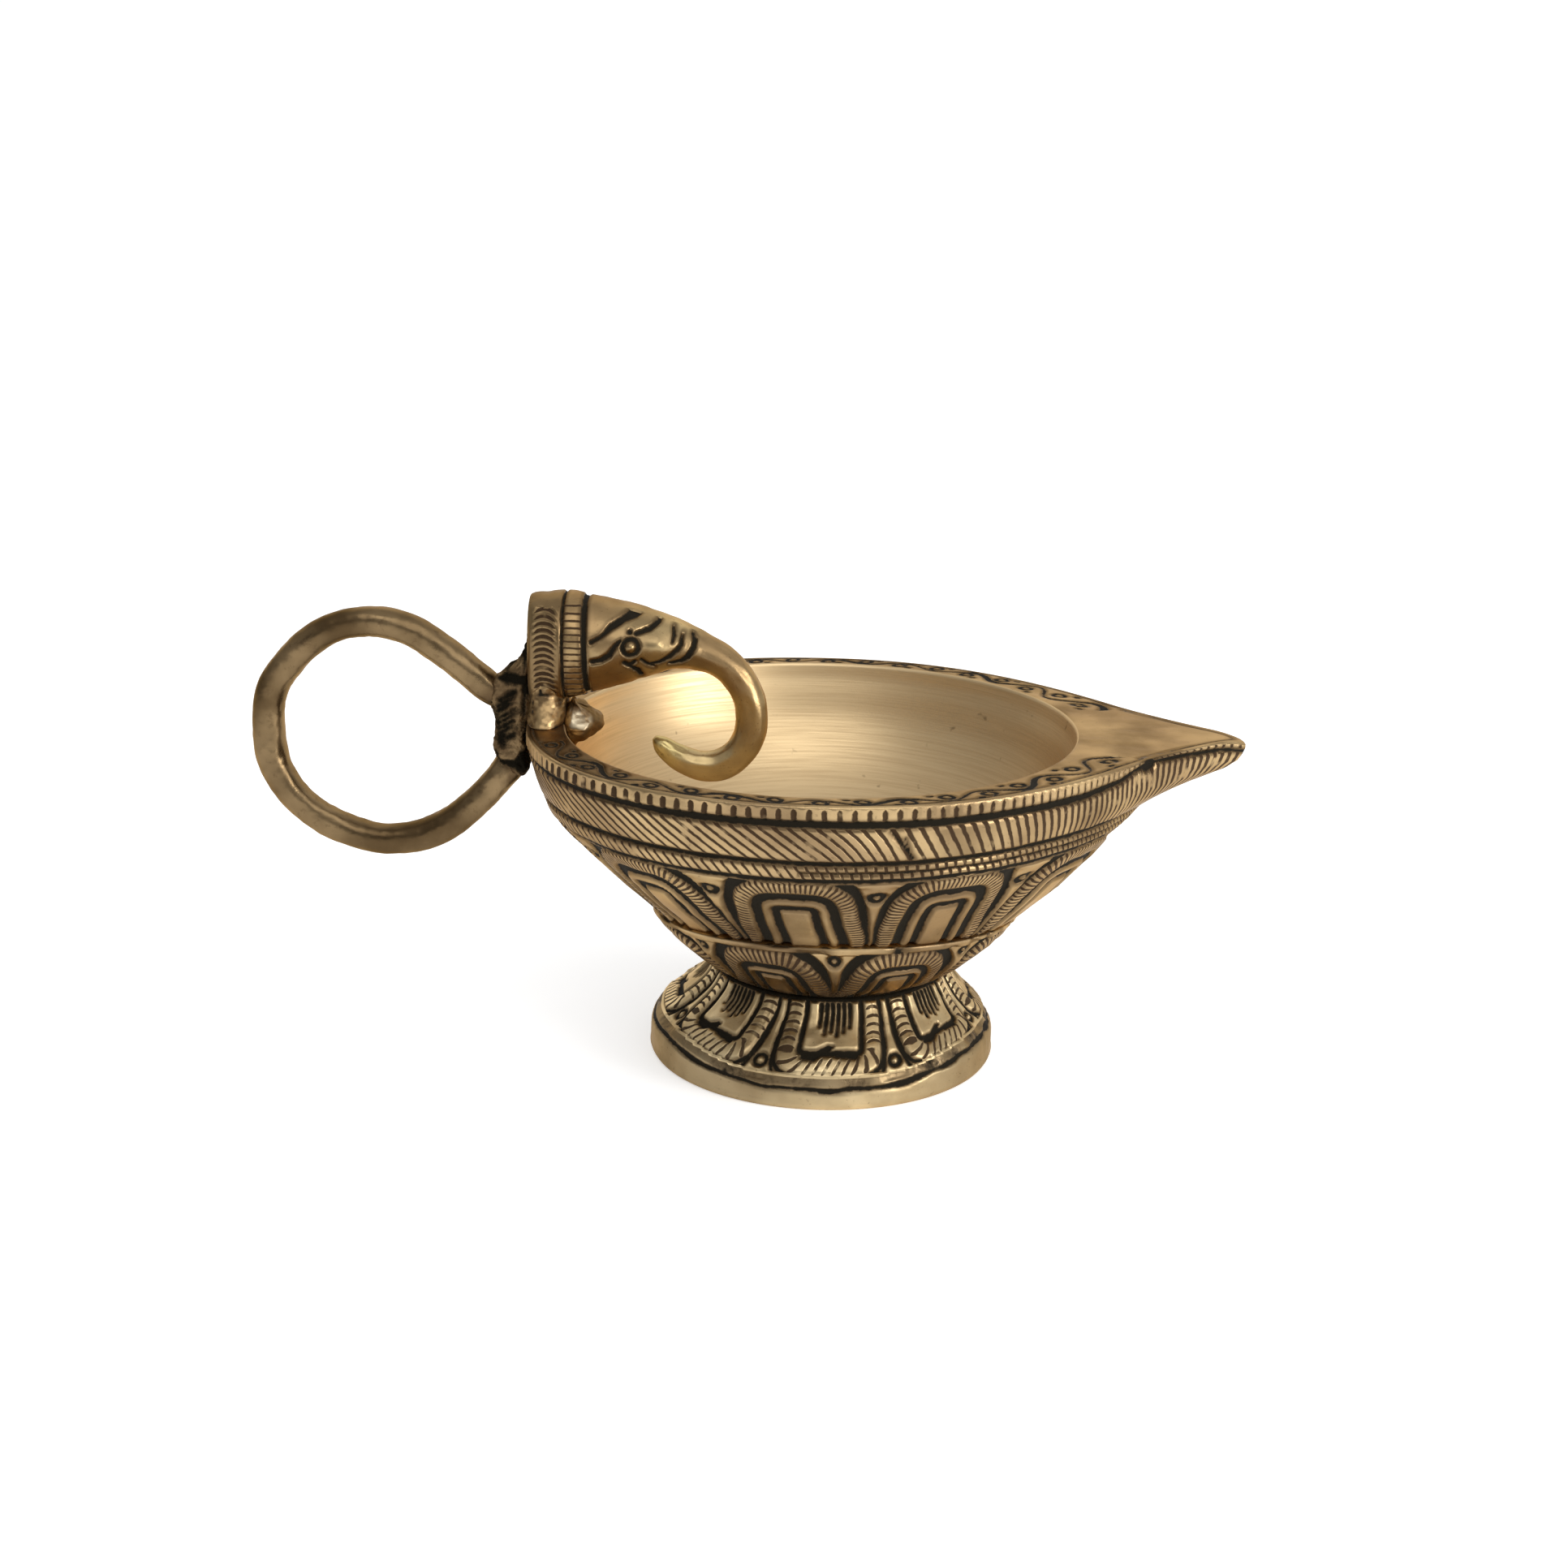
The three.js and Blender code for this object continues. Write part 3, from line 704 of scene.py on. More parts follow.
UPPER_TIER = Tier(
    UPPER_PETALS, UPPER_PETAL_AT, arch=(2.2, 10.2, 0.9), squat_above=8.7, squat=0.9,
    grooves=[(0.0, 1.05), (2.6, 3.95)], border=(4.1, 4.9, 6.9, 6.65), edge=6.75, middle=6.6,
    pitch=0.72, bead=(14.0, 0.95, 0.36), top=17.3, outlined=True,
    sepal=[(0, 0.35), (5, 0.5), (9, 0.8), (12, 1.35), (14.3, 2.2), (16.2, 3.1), (18, 4.2)],
)
LOWER_TIER = Tier(
    LOWER_PETALS, LOWER_PETAL_AT, arch=(1.9, 7.9, 0.9), squat_above=8.7, squat=1.0,
    grooves=[(0.0, 0.85), (2.0, 2.95)], border=(3.1, 3.7, 5.95, 5.7), edge=5.8, middle=5.6,
    pitch=0.85, bead=(12.3, 0.7, 0.24), top=13.5, outlined=False,
    sepal=[(0, 0.4), (4, 0.5), (8, 0.8), (10.4, 1.3), (12, 2.3), (13.6, 3.9), (15, 5)],
)


# ---- bowl ----
PETAL_FOOT_Z = 25.3
PETAL_TOP_Z = 39.4
SLANT = 1.26  # slant distance up the lower wall for each millimetre of height


def front_angle(angles):
    """Direction seen from the lamp's near side: 0 faces -Y, positive toward the spout."""
    return np.arctan2(np.sin(angles + math.pi / 2), np.cos(angles + math.pi / 2))


class RimRun:
    """Distance round the rim from the rear, and marks whose spacing changes along it."""

    def __init__(self):
        line = wall([45.0], AROUND)[0]
        step = np.linalg.norm(np.roll(line, -1, axis=0) - line, axis=-1)
        self.along = np.concatenate([[0], np.cumsum(step)[:-1]])
        self.total = step.sum()

    def marks(self, spacing):
        """Whole numbers at marks `spacing` apart; the count is rounded to close the circle."""
        density = 1 / spacing
        step = np.diff(np.append(self.along, self.total))
        count = np.concatenate([[0], np.cumsum(density * step)])
        return count * round(count[-1]) / count[-1]

    def read(self, marks, shifted):
        places = np.append(self.along, self.total)
        return np.interp(shifted, places, marks)


TICK_LOW, TICK_SPLIT, TICK_HIGH = 39.95, 41.1, 42.3
BAND_LOW, BAND_LEAN_FROM = 42.75, 47.9
# Strokes where the graver slipped, by distance ahead of the front and level.
SLIPS = [
    [(9.4, 47.6, 0.05), (11.3, 45.4, 0.2), (13.0, 43.2, 0.14)],
    [(11.6, 46.4, 0.04), (12.6, 43.4, 0.16)],
]
# Angle from the spout's tip and level of the groove under the bead.
BEAD_EDGE = [(0.0, 49.8), (0.14, 50.3), (0.28, 50.75), (0.42, 49.2), (0.6, 48.5), (3.2, 48.5)]


def rim_bands(engraving, angles, levels):
    """The grooved bands: notched bead, slanted hatching and short ticks."""
    from_tip = np.abs(angles)
    face = front_angle(angles)
    on = levels > 39.0 + 0 * angles
    lip = np.interp(from_tip, *np.array(BEAD_EDGE).T)
    half = mix(0.22, 0.46, ease(0.3, 0.7, from_tip)) * mix(0.55, 1.0, ease(2.7, 1.9, from_tip))
    engraving.cut(np.abs(levels - lip) - half, on)
    engraving.cut(stripe(levels, 42.31, 42.79), on)
    engraving.cut(stripe(levels, 39.35, TICK_LOW), on)
    split = ease(-0.1, 0.25, face) * ease(1.4, 1.1, face)
    engraving.cut(np.abs(levels - TICK_SPLIT) - 0.1 * split, on & (split > 0.02))
    clot = np.hypot((from_tip - 0.29) * 50 / 1.3, (levels - 50.4) / 0.9) - 1.0
    engraving.cut(clot * 0.8, on)

    run = RimRun()
    near_tip = ease(1.35, 0.35, from_tip)
    rear_clear = ease(0.015, 0.05, math.pi - from_tip)
    along = run.along[None, :] + 0 * levels

    lean = mix(1.3, 0.62, ease(0.0, 0.3, face[0])) * ease(1.35, 0.35, np.abs(face[0]))
    lean = np.where(face[0] < 0, 1.3 + 0 * lean, np.maximum(lean, 0.06))
    hatch = run.marks(mix(2.0, 1.15, near_tip[0]))
    band = (levels > BAND_LOW) & (levels < lip - half)
    below = BAND_LEAN_FROM - levels
    phase = run.read(hatch, along - lean[None, :] * below)
    tone = mix(0.21, 0.15, np.clip(below / 5.1, 0, 1)) * mix(1.0, 1.2, near_tip)
    engraving.hatching(phase, tone * rear_clear, band)
    ahead = along - run.along[np.argmin(np.abs(angles[0] + math.pi / 2))]
    for slip in SLIPS:
        engraving.cut(stroke(ahead, levels, slip), band)

    ticks = (levels > TICK_LOW) & (levels < TICK_HIGH)
    tick = run.marks(mix(1.5, 1.1, near_tip[0]))
    slant = mix(0.75, 0.15, split)
    phase = run.read(tick, along - slant * (TICK_HIGH - levels))
    phase += 0.5 * split * (levels > TICK_SPLIT)
    engraving.hatching(phase, 0.17 * rear_clear, ticks)

    bead = levels > lip + half
    up = (levels - lip - half) / np.maximum(RIM_Z - lip - half, 0.3)
    bite = ease(0.02, 0.16, up) * ease(0.86, 0.6, up)
    notch = run.marks(mix(2.02, 1.2, near_tip[0]))
    phase = run.read(notch, along)
    engraving.hatching(phase, 0.2 * bite * rear_clear * ease(2.85, 2.5, from_tip), bead)
    return np.abs(phase % 1 - 0.5) * bead


VINE_WAVE = 10.5
VINE_WAVES = 21


def rim_vine(engraving, run, out, width, angles):
    """A running vine on the flat of the rim: a wave, a bud in each bend and a few dots."""
    reach = np.minimum(width, 8.0)
    bend = TURN * run / VINE_WAVE
    middle = 0.5 * reach
    swing = 0.27 * reach
    steep = np.hypot(1, swing * TURN / VINE_WAVE * np.cos(bend))
    line = np.abs(out - middle - swing * np.sin(bend)) / steep - 0.27 - 0.13 * np.sin(run / 3.1)
    beat = 2 * run / VINE_WAVE - 0.5
    near = (beat - np.round(beat)) * VINE_WAVE / 2
    side = np.where(np.round(beat) % 2 == 0, -1.0, 1.0)
    bud = ring_line(near - 0.4, out - middle - side * swing * 0.35, 0.8, 0.24)
    leaf = np.hypot(near + 1.3, (out - middle - side * swing * 1.15) * 1.3) - 0.45
    shown = (np.abs(angles) > 0.3) & (np.abs(angles) < 2.8)
    engraving.cut(nearest(line, bud, leaf), shown)
    engraving.cut(np.abs(out - 0.5) - 0.08, np.abs(angles) > 0.16)
    tip_line = stroke(out + 0 * run, np.abs(angles), [(1.0, 0.2, 0.1), (1.4, 0.09, 0.05)])
    engraving.cut(tip_line, np.abs(angles) < 0.3)


# Distance down the turned inside, radius and level.
INSIDE_PROFILE = [
    (0, 38.25, 51.12), (1, 38.15, 50.8), (2.5, 37.9, 49.4), (4.5, 37.2, 47.5), (9.3, 35.6, 43),
    (14.4, 33, 38.6), (19.9, 29.4, 34.4), (26, 24.6, 30.6), (32.6, 18.6, 27.6), (40.4, 11, 25.9),
    (47.4, 4, 25.5),
]
SPOUT_DROOP = 0.8
SPOUT_DROOP_REACH = 5


def tip_droop(x):
    """The top of the spout rounds down over its last few millimetres."""
    from_tip = SPOUT_LENGTH - x
    return SPOUT_DROOP * np.clip(1 - from_tip / SPOUT_DROOP_REACH, 0, 1) ** 2


def bowl_piece():
    skin = Skin()
    # Hidden underside: the spigot that stands in the lotus cup.
    bore_end = SPIGOT_Z + 3.3
    skin.rings(turned([
        (BORE_RADIUS, bore_end),
        (BORE_RADIUS, SPIGOT_Z),
        (SPIGOT_RADIUS, SPIGOT_Z),
        (SPIGOT_RADIUS, SEAM_Z + GAP, 1.0),
    ]))
    skin.cap(skin.first, (0, 0, bore_end))

    # Engraved outer wall, from the seam to the rim.
    levels = np.concatenate([
        np.linspace(PETAL_FOOT_Z, PETAL_TOP_Z, 48, endpoint=False),
        np.linspace(PETAL_TOP_Z, 50.9, 42, endpoint=False),
        [50.9, 51.15],
    ])
    inset = np.zeros(len(levels))
    inset[-1] = 0.12
    base = wall(levels, AROUND, inset)
    rows = levels[:, None]
    radius = np.hypot(base[..., 0], base[..., 1])
    engraving = Engraving(base)
    climb = (rows - PETAL_FOOT_Z) * SLANT + 0 * radius
    across, sepal = UPPER_TIER.engrave(engraving, radius, climb, rows < PETAL_TOP_Z)
    notch = rim_bands(engraving, AROUND[None, :], rows)

    on_petals = ease(PETAL_TOP_Z, PETAL_TOP_Z - 1.5, rows)
    height = relief(engraving.groove, 0.45)
    height += on_petals * 0.3 * (ease(9.5, 7.2, np.abs(across)) - 1)
    height += on_petals * 0.3 * ease(2.0, 0.5, np.abs(sepal))
    height -= 0.28 * ease(0.3, 0.42, notch)
    height += 0.07 * ripple(base, (14, 90), 3)
    height[-2:] = 0.0
    height *= ease(SPOUT_LENGTH, SPOUT_LENGTH - 6, base[..., 0])
    outside = raise_by(base, height, (0, 0, 40))
    outside[..., 2] -= tip_droop(outside[..., 0]) * ease(45.5, 51.0, rows)
    skin.rings(outside, engraving.packed())

    # Flat of the rim, from its outer edge to the opening.
    outer = wall([RIM_Z], AROUND, 0.4)[0]
    opening = circle(OPENING_RADIUS + 0.25, RIM_Z, AROUND, OPENING_X)
    share = np.linspace(0, 1, 18)[:, None, None]
    flat = mix(outer[None], opening[None], share)
    width = np.linalg.norm(outer - opening, axis=-1)[None, :]
    step = np.linalg.norm(np.diff(opening, axis=0, append=opening[:1]), axis=-1)
    run = np.concatenate([[0], np.cumsum(step)[:-1]])[None, :] + 0 * share[..., 0]
    run = run * (VINE_WAVES * VINE_WAVE) / step.sum()
    vine = Engraving(flat)
    rim_vine(vine, run, share[..., 0] * width, width, AROUND[None, :])
    dip = relief(vine.groove, 0.16, 0.3) + 0.04 * ripple(flat, (4, 70), 5)
    dip[0] = 0
    dip[-1] = 0
    flat[..., 2] += dip - tip_droop(flat[..., 0])
    skin.rings(flat, vine.packed())

    # Turned inside, down to a flat floor.
    inside = smooth(INSIDE_PROFILE, np.linspace(0, INSIDE_PROFILE[-1][0], 44))
    skin.rings(turned(inside, OPENING_X), slot=1)
    skin.cap(skin.last, (OPENING_X, 0, INSIDE_PROFILE[-1][2]), slot=1)
    return skin.build("bowl_visual", [BODY, INSIDE])


# ---- lotus cup and foot ----
def arc_length(profile):
    steps = np.hypot(*np.diff(profile, axis=0).T)
    return np.concatenate([[0], np.cumsum(steps)])


def collar_piece():
    # Level, radius, shift, saddle and share of the leaf's reach ahead of the axis.
    stations = [
        (14.6, 18, 1.1, 0, 0),
        (15.6, 20, 1.3, 0, 0),
        (18.2, 23.3, 1.4, 0, 0),
        (21.2, 26.1, 1.2, 0.2, 0.04),
        (24, 27.8, 1, 0.9, 0.07),
        (24.7, 28.1, 1, 1, 0.08),
        (SEAM_Z, 28, 1, 1, 0.08),
    ]
    levels = np.linspace(stations[0][0], SEAM_Z, 58)
    radius, shift, saddle, share = smooth(stations, levels).T[:, :, None]
    rise = -saddle * SEAM_SADDLE * np.cos(2 * AROUND)[None, :]
    prow = share * np.maximum(leaf_reach(AROUND[None, :], 0.0), 0)
    edge = radius + SEAM_FLARE * rise + prow
    x, y = shift + edge * np.cos(AROUND), edge * np.sin(AROUND)
    base = np.stack([x, y, levels[:, None] + rise], -1)
    climb = arc_length(np.stack([radius[:, 0], levels], -1))[:, None] + 0 * edge
    engraving = Engraving(base)
    across, sepal = LOWER_TIER.engrave(engraving, edge, climb)
    lip = ease(13.4, 13.7, climb)
    tarnish = 0.4 + 0.5 * ripple(base, (9, 70), 10)
    engraving.cut(tarnish, lip > 0)
    height = relief(engraving.groove, 0.42)
    height += (1 - lip) * 0.3 * (ease(8.4, 5.6, np.abs(across)) - 1) - (1 - lip) * 0.15
    height += (1 - lip) * 0.3 * ease(1.8, 0.3, np.abs(sepal))
    height += 0.05 * ripple(base, (7, 60), 9)
    height[0] = 0
    skin = Skin()
    skin.rings(raise_by(base, height, (0, 0, 22)), engraving.packed())
    recess = SPIGOT_RADIUS + GAP
    skin.rings(turned([
        (recess, SEAM_Z, 1.0),
        (recess, SPIGOT_Z - GAP),
        (BORE_RADIUS, SPIGOT_Z - GAP),
        (BORE_RADIUS, WAIST_Z + GAP),
    ]))
    skin.close_loop()
    return skin.build("lotus_collar_visual", [BODY])


WEB_Z = 10.5  # underside of the web at the top of the foot's hollow
FOOT_GROOVE_Z = 3.3
FOOT_GROOVE_RISE = 2.0  # the groove above the plain edge climbs this much at the two ends
PANEL_ARCH = (4.1, 7.6, 0.8)  # half width, length and corner of a panel's tongue
PANEL_LENGTH = 10.9  # down to the end of its fringe


def foot_panels(engraving, angles, radius, drop):
    """Hanging panels: a plain tongue with upright cuts, a fringed border, sepals between."""
    face = front_angle(angles)
    warped = angles - FOOT_PANEL_WARP * np.sin(face)
    across, sepal = petal_frame(warped, radius, FOOT_PANEL_AT, FOOT_PANELS)
    narrow = (23.0 / radius) ** 0.7
    across, sepal = across * narrow, sepal * narrow
    out = arch(across, drop, *PANEL_ARCH)
    on = drop < PANEL_LENGTH
    engraving.cut(stripe(out, 0.0, 0.58), drop < 9)
    engraving.cut(np.abs(out - 3.55) - 0.22, on)
    sepal_half = smooth([(0, 0.7), (6, 0.75), (8.5, 1.1), (11, 1.9)], drop)[..., 0]
    engraving.cut(np.abs(np.abs(sepal) - sepal_half - 0.2) - 0.2, on)
    engraving.cut(ring_line(sepal, drop - 9.3, 0.8, 0.2))
    for marks in (
        [(-3.6, 8.4, 0.3), (-2.2, 8.3, 0.5), (-0.4, 7.2, 0.4), (0.2, 6.9, 0.08)],
        [(0.9, 8.2, 0.15), (2.2, 8.0, 0.45), (3.6, 8.3, 0.3)],
    ):
        engraving.cut(stroke(across, drop, marks))
    for k, length in enumerate((3.9, 5.0, 4.6, 5.2, 4.7, 4.0)):
        at = (k - 2.5) * 0.92 + 0.2
        engraving.cut(stroke(across, drop, [(at, 0.8, 0.3), (at, length, 0.12)]))
    run = along_arch(across, drop, *PANEL_ARCH, 2.6)
    bow = -0.55 * (1 - ((out - 2.1) / 1.5) ** 2) * np.sign(across)
    below = ease(7.2, 8.2, drop)
    lean = 0.45 * (out - 2) * below
    reach = ease(0.8, 1.3, out) * ease(3.4, 3.0, out) * ease(PANEL_LENGTH + 0.3, PANEL_LENGTH, drop)
    engraving.hatching((run + bow * (1 - below) + lean) / 1.25, 0.19 * reach)
    return across, sepal


def foot_piece():
    # Distance down the outside, radius, level and shift ahead of the foot axis.
    profile = [
        (0, 18, WAIST_Z, 1.1),
        (2.1, 19, 12.4, 1.1),
        (4.6, 20.7, 10.4, 0.8),
        (7.6, 23.2, 8.2, 0.4),
        (10.5, 25.7, 5.8, 0),
        (12.2, FOOT_RADIUS - 0.1, 4.2, 0),
        (14.4, FOOT_RADIUS, 2, 0),
        (15.7, FOOT_RADIUS - 0.1, 0.8, 0),
        (16.1, FOOT_RADIUS - 0.3, 0.3, 0),
        (16.5, FOOT_RADIUS - 0.7, 0, 0),
    ]
    drop = np.concatenate([np.linspace(0, 13.6, 62), np.linspace(14.1, 16.5, 9)])
    radius, level, shift = smooth(profile, drop).T
    radius = np.minimum(radius, FOOT_RADIUS)
    level[-1] = 0.0
    base = np.stack([circle(r, z, AROUND, at) for r, z, at in zip(radius, level, shift)])
    rows = drop[:, None] + 0 * base[..., 0]
    ends = ease(0.35, 0.97, np.abs(np.cos(AROUND)))[None, :]
    groove_z = FOOT_GROOVE_Z + FOOT_GROOVE_RISE * ends + 0 * rows
    groove_drop = np.interp(-groove_z, -level, drop)
    front_drop = np.interp(-FOOT_GROOVE_Z, -level, drop)
    scaled = rows * front_drop / groove_drop
    engraving = Engraving(base)
    across, sepal = foot_panels(engraving, AROUND[None, :], radius[:, None], scaled)
    ragged = 0.25 * ripple(base, (6, 60), 12)
    broken = 0.34 + 0.22 * ripple(base, (4, 46), 14)
    engraving.cut(np.abs(level[:, None] - groove_z - ragged) - broken)
    engraving.cut(rows - 0.35)
    face = front_angle(AROUND)[None, :]
    # Darkens the plain edge under the groove, less a little right of the front, where the lighter
    # patch is a painted highlight.
    edge_dark_painted_highlight = mix(0.2, 0.38, np.exp(-(((face - 0.3) / 0.5) ** 2)))
    engraving.cut(edge_dark_painted_highlight, level[:, None] < groove_z - 0.3)
    sooty = 0.1 + 0.16 * ripple(base, (6, 50), 15)
    engraving.cut(sooty, (scaled > PANEL_LENGTH + 0.3) & (level[:, None] > groove_z))
    height = relief(engraving.groove, 0.36)
    on_panels = ease(front_drop - 0.4, front_drop - 1.2, scaled)
    height += on_panels * 0.25 * (ease(8.6, 7.4, np.abs(across)) - 1)
    height -= on_panels * 0.2 * ease(1.6, 0.8, np.abs(np.abs(sepal) - 1.1))
    height += 0.08 * ripple(base, (12, 80), 13) * ease(0.5, -0.5, rows - 14)
    height[-4:] = 0.0
    skin = Skin()
    skin.rings(raise_by(base, height, (0, 0, 6)), engraving.packed())
    hollow = [(22.8, 0), (22.5, 0.25), (22, 1.6), (20.4, 5.2), (17, 9), (13, WEB_Z)]
    skin.rings(turned(hollow + [(BORE_RADIUS, WEB_Z), (BORE_RADIUS, WAIST_Z)]))
    skin.close_loop()
    return skin.build("foot_visual", [FOOT_METAL_PAINTED_LIGHT])


# ---- finger ring ----
RING_THICK = 4.6
RING_WIDE = 5.1
RING_SQUARENESS = 2.35  # 2 would be an oval section
RING_PATH = [
    (-48.2, 53.2), (-52.9, 56.9), (-57.5, 60.6), (-62.6, 63.8), (-68.3, 65.1), (-74.5, 63.8),
    (-80.3, 59.5), (-84.0, 54.0), (-84.7, 48.0), (-83.8, 42.0), (-80.0, 36.5), (-73.5, 32.5),
    (-65.8, 31.1), (-58.6, 33.2), (-53.3, 37.4), (-50.1, 40.9), (-47.9, 43.9), (-46.4, 46.6),
]


def superellipse(angle, power):
    c, s = np.cos(angle), np.sin(angle)
    shape = 2 / power
    return np.sign(c) * np.abs(c) ** shape, np.sign(s) * np.abs(s) ** shape


def ring_piece():
    path = np.array(RING_PATH)
    length = arc_length(path)
    at = np.linspace(0, length[-1], 340)
    centre = smooth(np.column_stack([length, path]), at)
    along = np.gradient(centre, axis=0)
    along /= np.linalg.norm(along, axis=1, keepdims=True)
    turn = even_turn(56)
    out, side = superellipse(turn, RING_SQUARENESS)
    swell = 1.0 + 0.03 * np.sin(at / 6.1) + 0.015 * np.sin(at / 2.7 + 1)
    from_low = length[-1] - at
    swell *= mix(1.15, 1.0, ease(0, 7, from_low)) * mix(0.8, 1.0, ease(0, 6, at))
    narrow = mix(0.8, 1.0, ease(1, 6, np.minimum(at, from_low)))
    thick = (RING_THICK / 2 * swell)[:, None] * out[None, :]
    wide = (RING_WIDE / 2 * narrow * (1 + 0.02 * np.sin(at / 4.3)))[:, None] * side[None, :]
    x = centre[:, :1] - along[:, 1:] * thick
    z = centre[:, 1:] + along[:, :1] * thick
    base = np.stack([x, wide, z], -1)
    height = 0.1 * ripple(base, (30, 8), 21)
    height += 0.04 * ripple(base, (120, 18), 22)
    height[0] = 0
    height[-1] = 0
    clots = 0.6 * ripple(base, (70, 12), 23)
    dark = 0.36 * np.minimum(at, from_low)[:, None] - 0.7 + clots
    normal = np.stack([-along[:, 1:] * out, side + 0 * along[:, :1], along[:, :1] * out], -1)
    bar = (base + normal * height[..., None], groove_only(dark))
    return lobed_piece("finger_ring_visual", RING_METAL, bar)


# ---- handle stem ----
STEM_LOW, STEM_HIGH = 42.5, 65.2


def stem_piece():
    """Rough waisted casting between ring, bowl and head, with a fringe of tool marks."""
    levels = np.linspace(STEM_LOW, STEM_HIGH, 130)
    left = smooth([
        (42.5, -47.0), (42.9, -48.2), (43.7, -49.3), (45.2, -50.1), (47.0, -50.3),
        (49.6, -50.1), (52.4, -50.5), (55.0, -51.0), (56.6, -50.7), (57.8, -49.6),
        (58.8, -48.2), (60.0, -46.9), (61.4, -45.9), (63.0, -45.3), (65.2, -44.8),
    ], levels)[:, 0]
    right = smooth([
        (42.5, -45.4), (43.2, -44.9), (45.0, -45.0), (50.5, -45.0), (53.0, -44.4), (65.2, -44.3),
    ], levels)[:, 0]
    middle, reach = (left + right) / 2, (right - left) / 2
    turn = even_turn(96)
    c, s = superellipse(turn, 2.7)
    x = middle[:, None] + reach[:, None] * c[None, :]
    plan = [(-51.5, 2.6), (-49.8, 2.85), (-48.0, 2.7), (-46.4, 3.1), (-44.4, 4.2)]
    wide = smooth(plan, x)[..., 0] * ease(67.5, 58.0, levels)[:, None] ** 0.5
    wide *= mix(0.8, 1.0, ease(42.5, 44.5, levels))[:, None]
    base = np.stack([x, wide * s[None, :], levels[:, None] + 0 * x], -1)
    row = base[..., 2]
    marks = np.full(x.shape, FAR)
    rng = np.random.default_rng(33)
    for k in range(8):
        foot_z = 48.2 + 0.95 * k + rng.uniform(-0.25, 0.25)
        start = -49.3 + rng.uniform(-0.5, 0.4)
        steps = np.array([(0, -0.5, 0.06), (1.1, 0.1, 0.2), (2.3, 1.0, 0.1)])
        marks = np.minimum(marks, stroke(x, row, steps + [start, foot_z, 0]))
    worn = ripple(x, (16, 10), 34)
    blotch = 0.72 + worn
    seam = np.abs(x + 45.3) - 0.3 + 0.5 * worn
    crook = stripe(row, 56.6, 58.6) + 1.1 * ease(-48.0, -49.6, x) + 0.6 * worn + 0.15
    heel = stripe(row, STEM_LOW, 46.5) + 1.5 * ease(-45.6, -47.2, x) + 0.6 * worn + 0.15
    marks = nearest(marks, blotch, seam, crook, heel)
    height = relief(marks, 0.18) + 0.2 * ripple(x, (26, 16), 31)
    height += 0.13 * ripple(x, (64, 44), 32)
    height *= ease(0, 0.8, np.minimum(levels - STEM_LOW, STEM_HIGH - levels))[:, None]
    casting = (raise_by(base, height, (-48, 0, 52)), groove_only(marks))
    return lobed_piece("handle_stem_visual", JOINT, casting)


# ---- elephant head and trunk ----
# Distance along, centre x and z, half height, half width, lean in degrees, squareness.
HEAD = [
    (0.0, -44.6, 61.9, 8.0, 4.9, 0, 2.5),
    (0.5, -44.1, 61.8, 8.25, 5.6, 0, 2.5),
    (2.6, -42.0, 62.0, 8.25, 6.5, 0, 2.4),
    (4.6, -40.2, 62.3, 8.2, 7.0, 0, 2.25),
    (7.0, -38.0, 62.6, 7.9, 7.25, 0, 2.1),
    (9.2, -35.9, 62.7, 7.4, 7.3, 0, 2.05),
    (14.3, -30.8, 62.9, 6.2, 6.9, 2, 2),
    (18.9, -26.2, 63.0, 4.8, 5.7, 6, 2),
    (23.1, -22.0, 62.7, 3.5, 4.3, 14, 2),
    (26.9, -18.4, 61.6, 2.8, 3.3, 26, 2),
    (30.4, -15.3, 59.9, 2.5, 2.9, 42, 2.1),
    (34.2, -12.9, 57.0, 2.4, 2.7, 63, 2.2),
    (38.2, -11.6, 53.2, 2.4, 2.6, 86, 2.2),
    (42.0, -11.8, 49.4, 2.4, 2.5, 108, 2.2),
    (45.5, -13.5, 46.3, 2.4, 2.5, 134, 2.2),
    (49.0, -16.4, 44.4, 2.4, 2.4, 163, 2.1),
    (52.5, -19.9, 44.4, 2.2, 2.2, 191, 2),
    (56.1, -23.2, 45.9, 1.8, 1.9, 213, 2),
    (59.2, -25.6, 47.9, 1.0, 1.2, 226, 2),
    (60.0, -26.1, 48.4, 0.45, 0.55, 228, 2),
]

FACE_STROKES = [
    [(-34.9, 64.5, 0.22), (-33.5, 65.3, 0.2), (-32.0, 66.7, 0.42), (-30.3, 67.7, 0.4),
     (-28.8, 68.3, 0.62), (-27.5, 68.9, 0.35)],
    [(-28.4, 65.7, 0.28), (-26.5, 66.3, 0.32), (-25.3, 67.1, 0.26), (-24.9, 67.8, 0.1)],
    [(-34.7, 61.5, 0.28), (-33.4, 61.8, 0.3), (-32.2, 62.6, 0.34), (-31.4, 64.0, 0.26),
     (-30.6, 64.7, 0.14)],
    [(-30.0, 61.4, 0.24), (-29.3, 60.9, 0.34), (-28.5, 61.6, 0.2)],
    [(-29.2, 60.7, 0.2), (-28.2, 60.0, 0.32), (-27.8, 59.2, 0.3)],
    [(-27.6, 61.9, 0.12), (-26.5, 60.9, 0.2), (-25.8, 60.5, 0.2)],
    [(-26.4, 61.0, 0.16), (-25.0, 61.3, 0.26), (-23.6, 62.1, 0.3), (-22.5, 63.0, 0.26),
     (-21.9, 63.8, 0.22), (-21.7, 65.2, 0.1)],
    [(-23.6, 60.9, 0.14), (-21.9, 61.2, 0.28), (-20.9, 61.9, 0.32), (-20.0, 63.4, 0.3),
     (-19.9, 64.4, 0.24), (-20.3, 65.2, 0.1)],
    [(-23.1, 66.2, 0.08), (-22.9, 65.2, 0.18), (-23.2, 64.2, 0.08)],
]
EYE = (-29.2, 63.8)

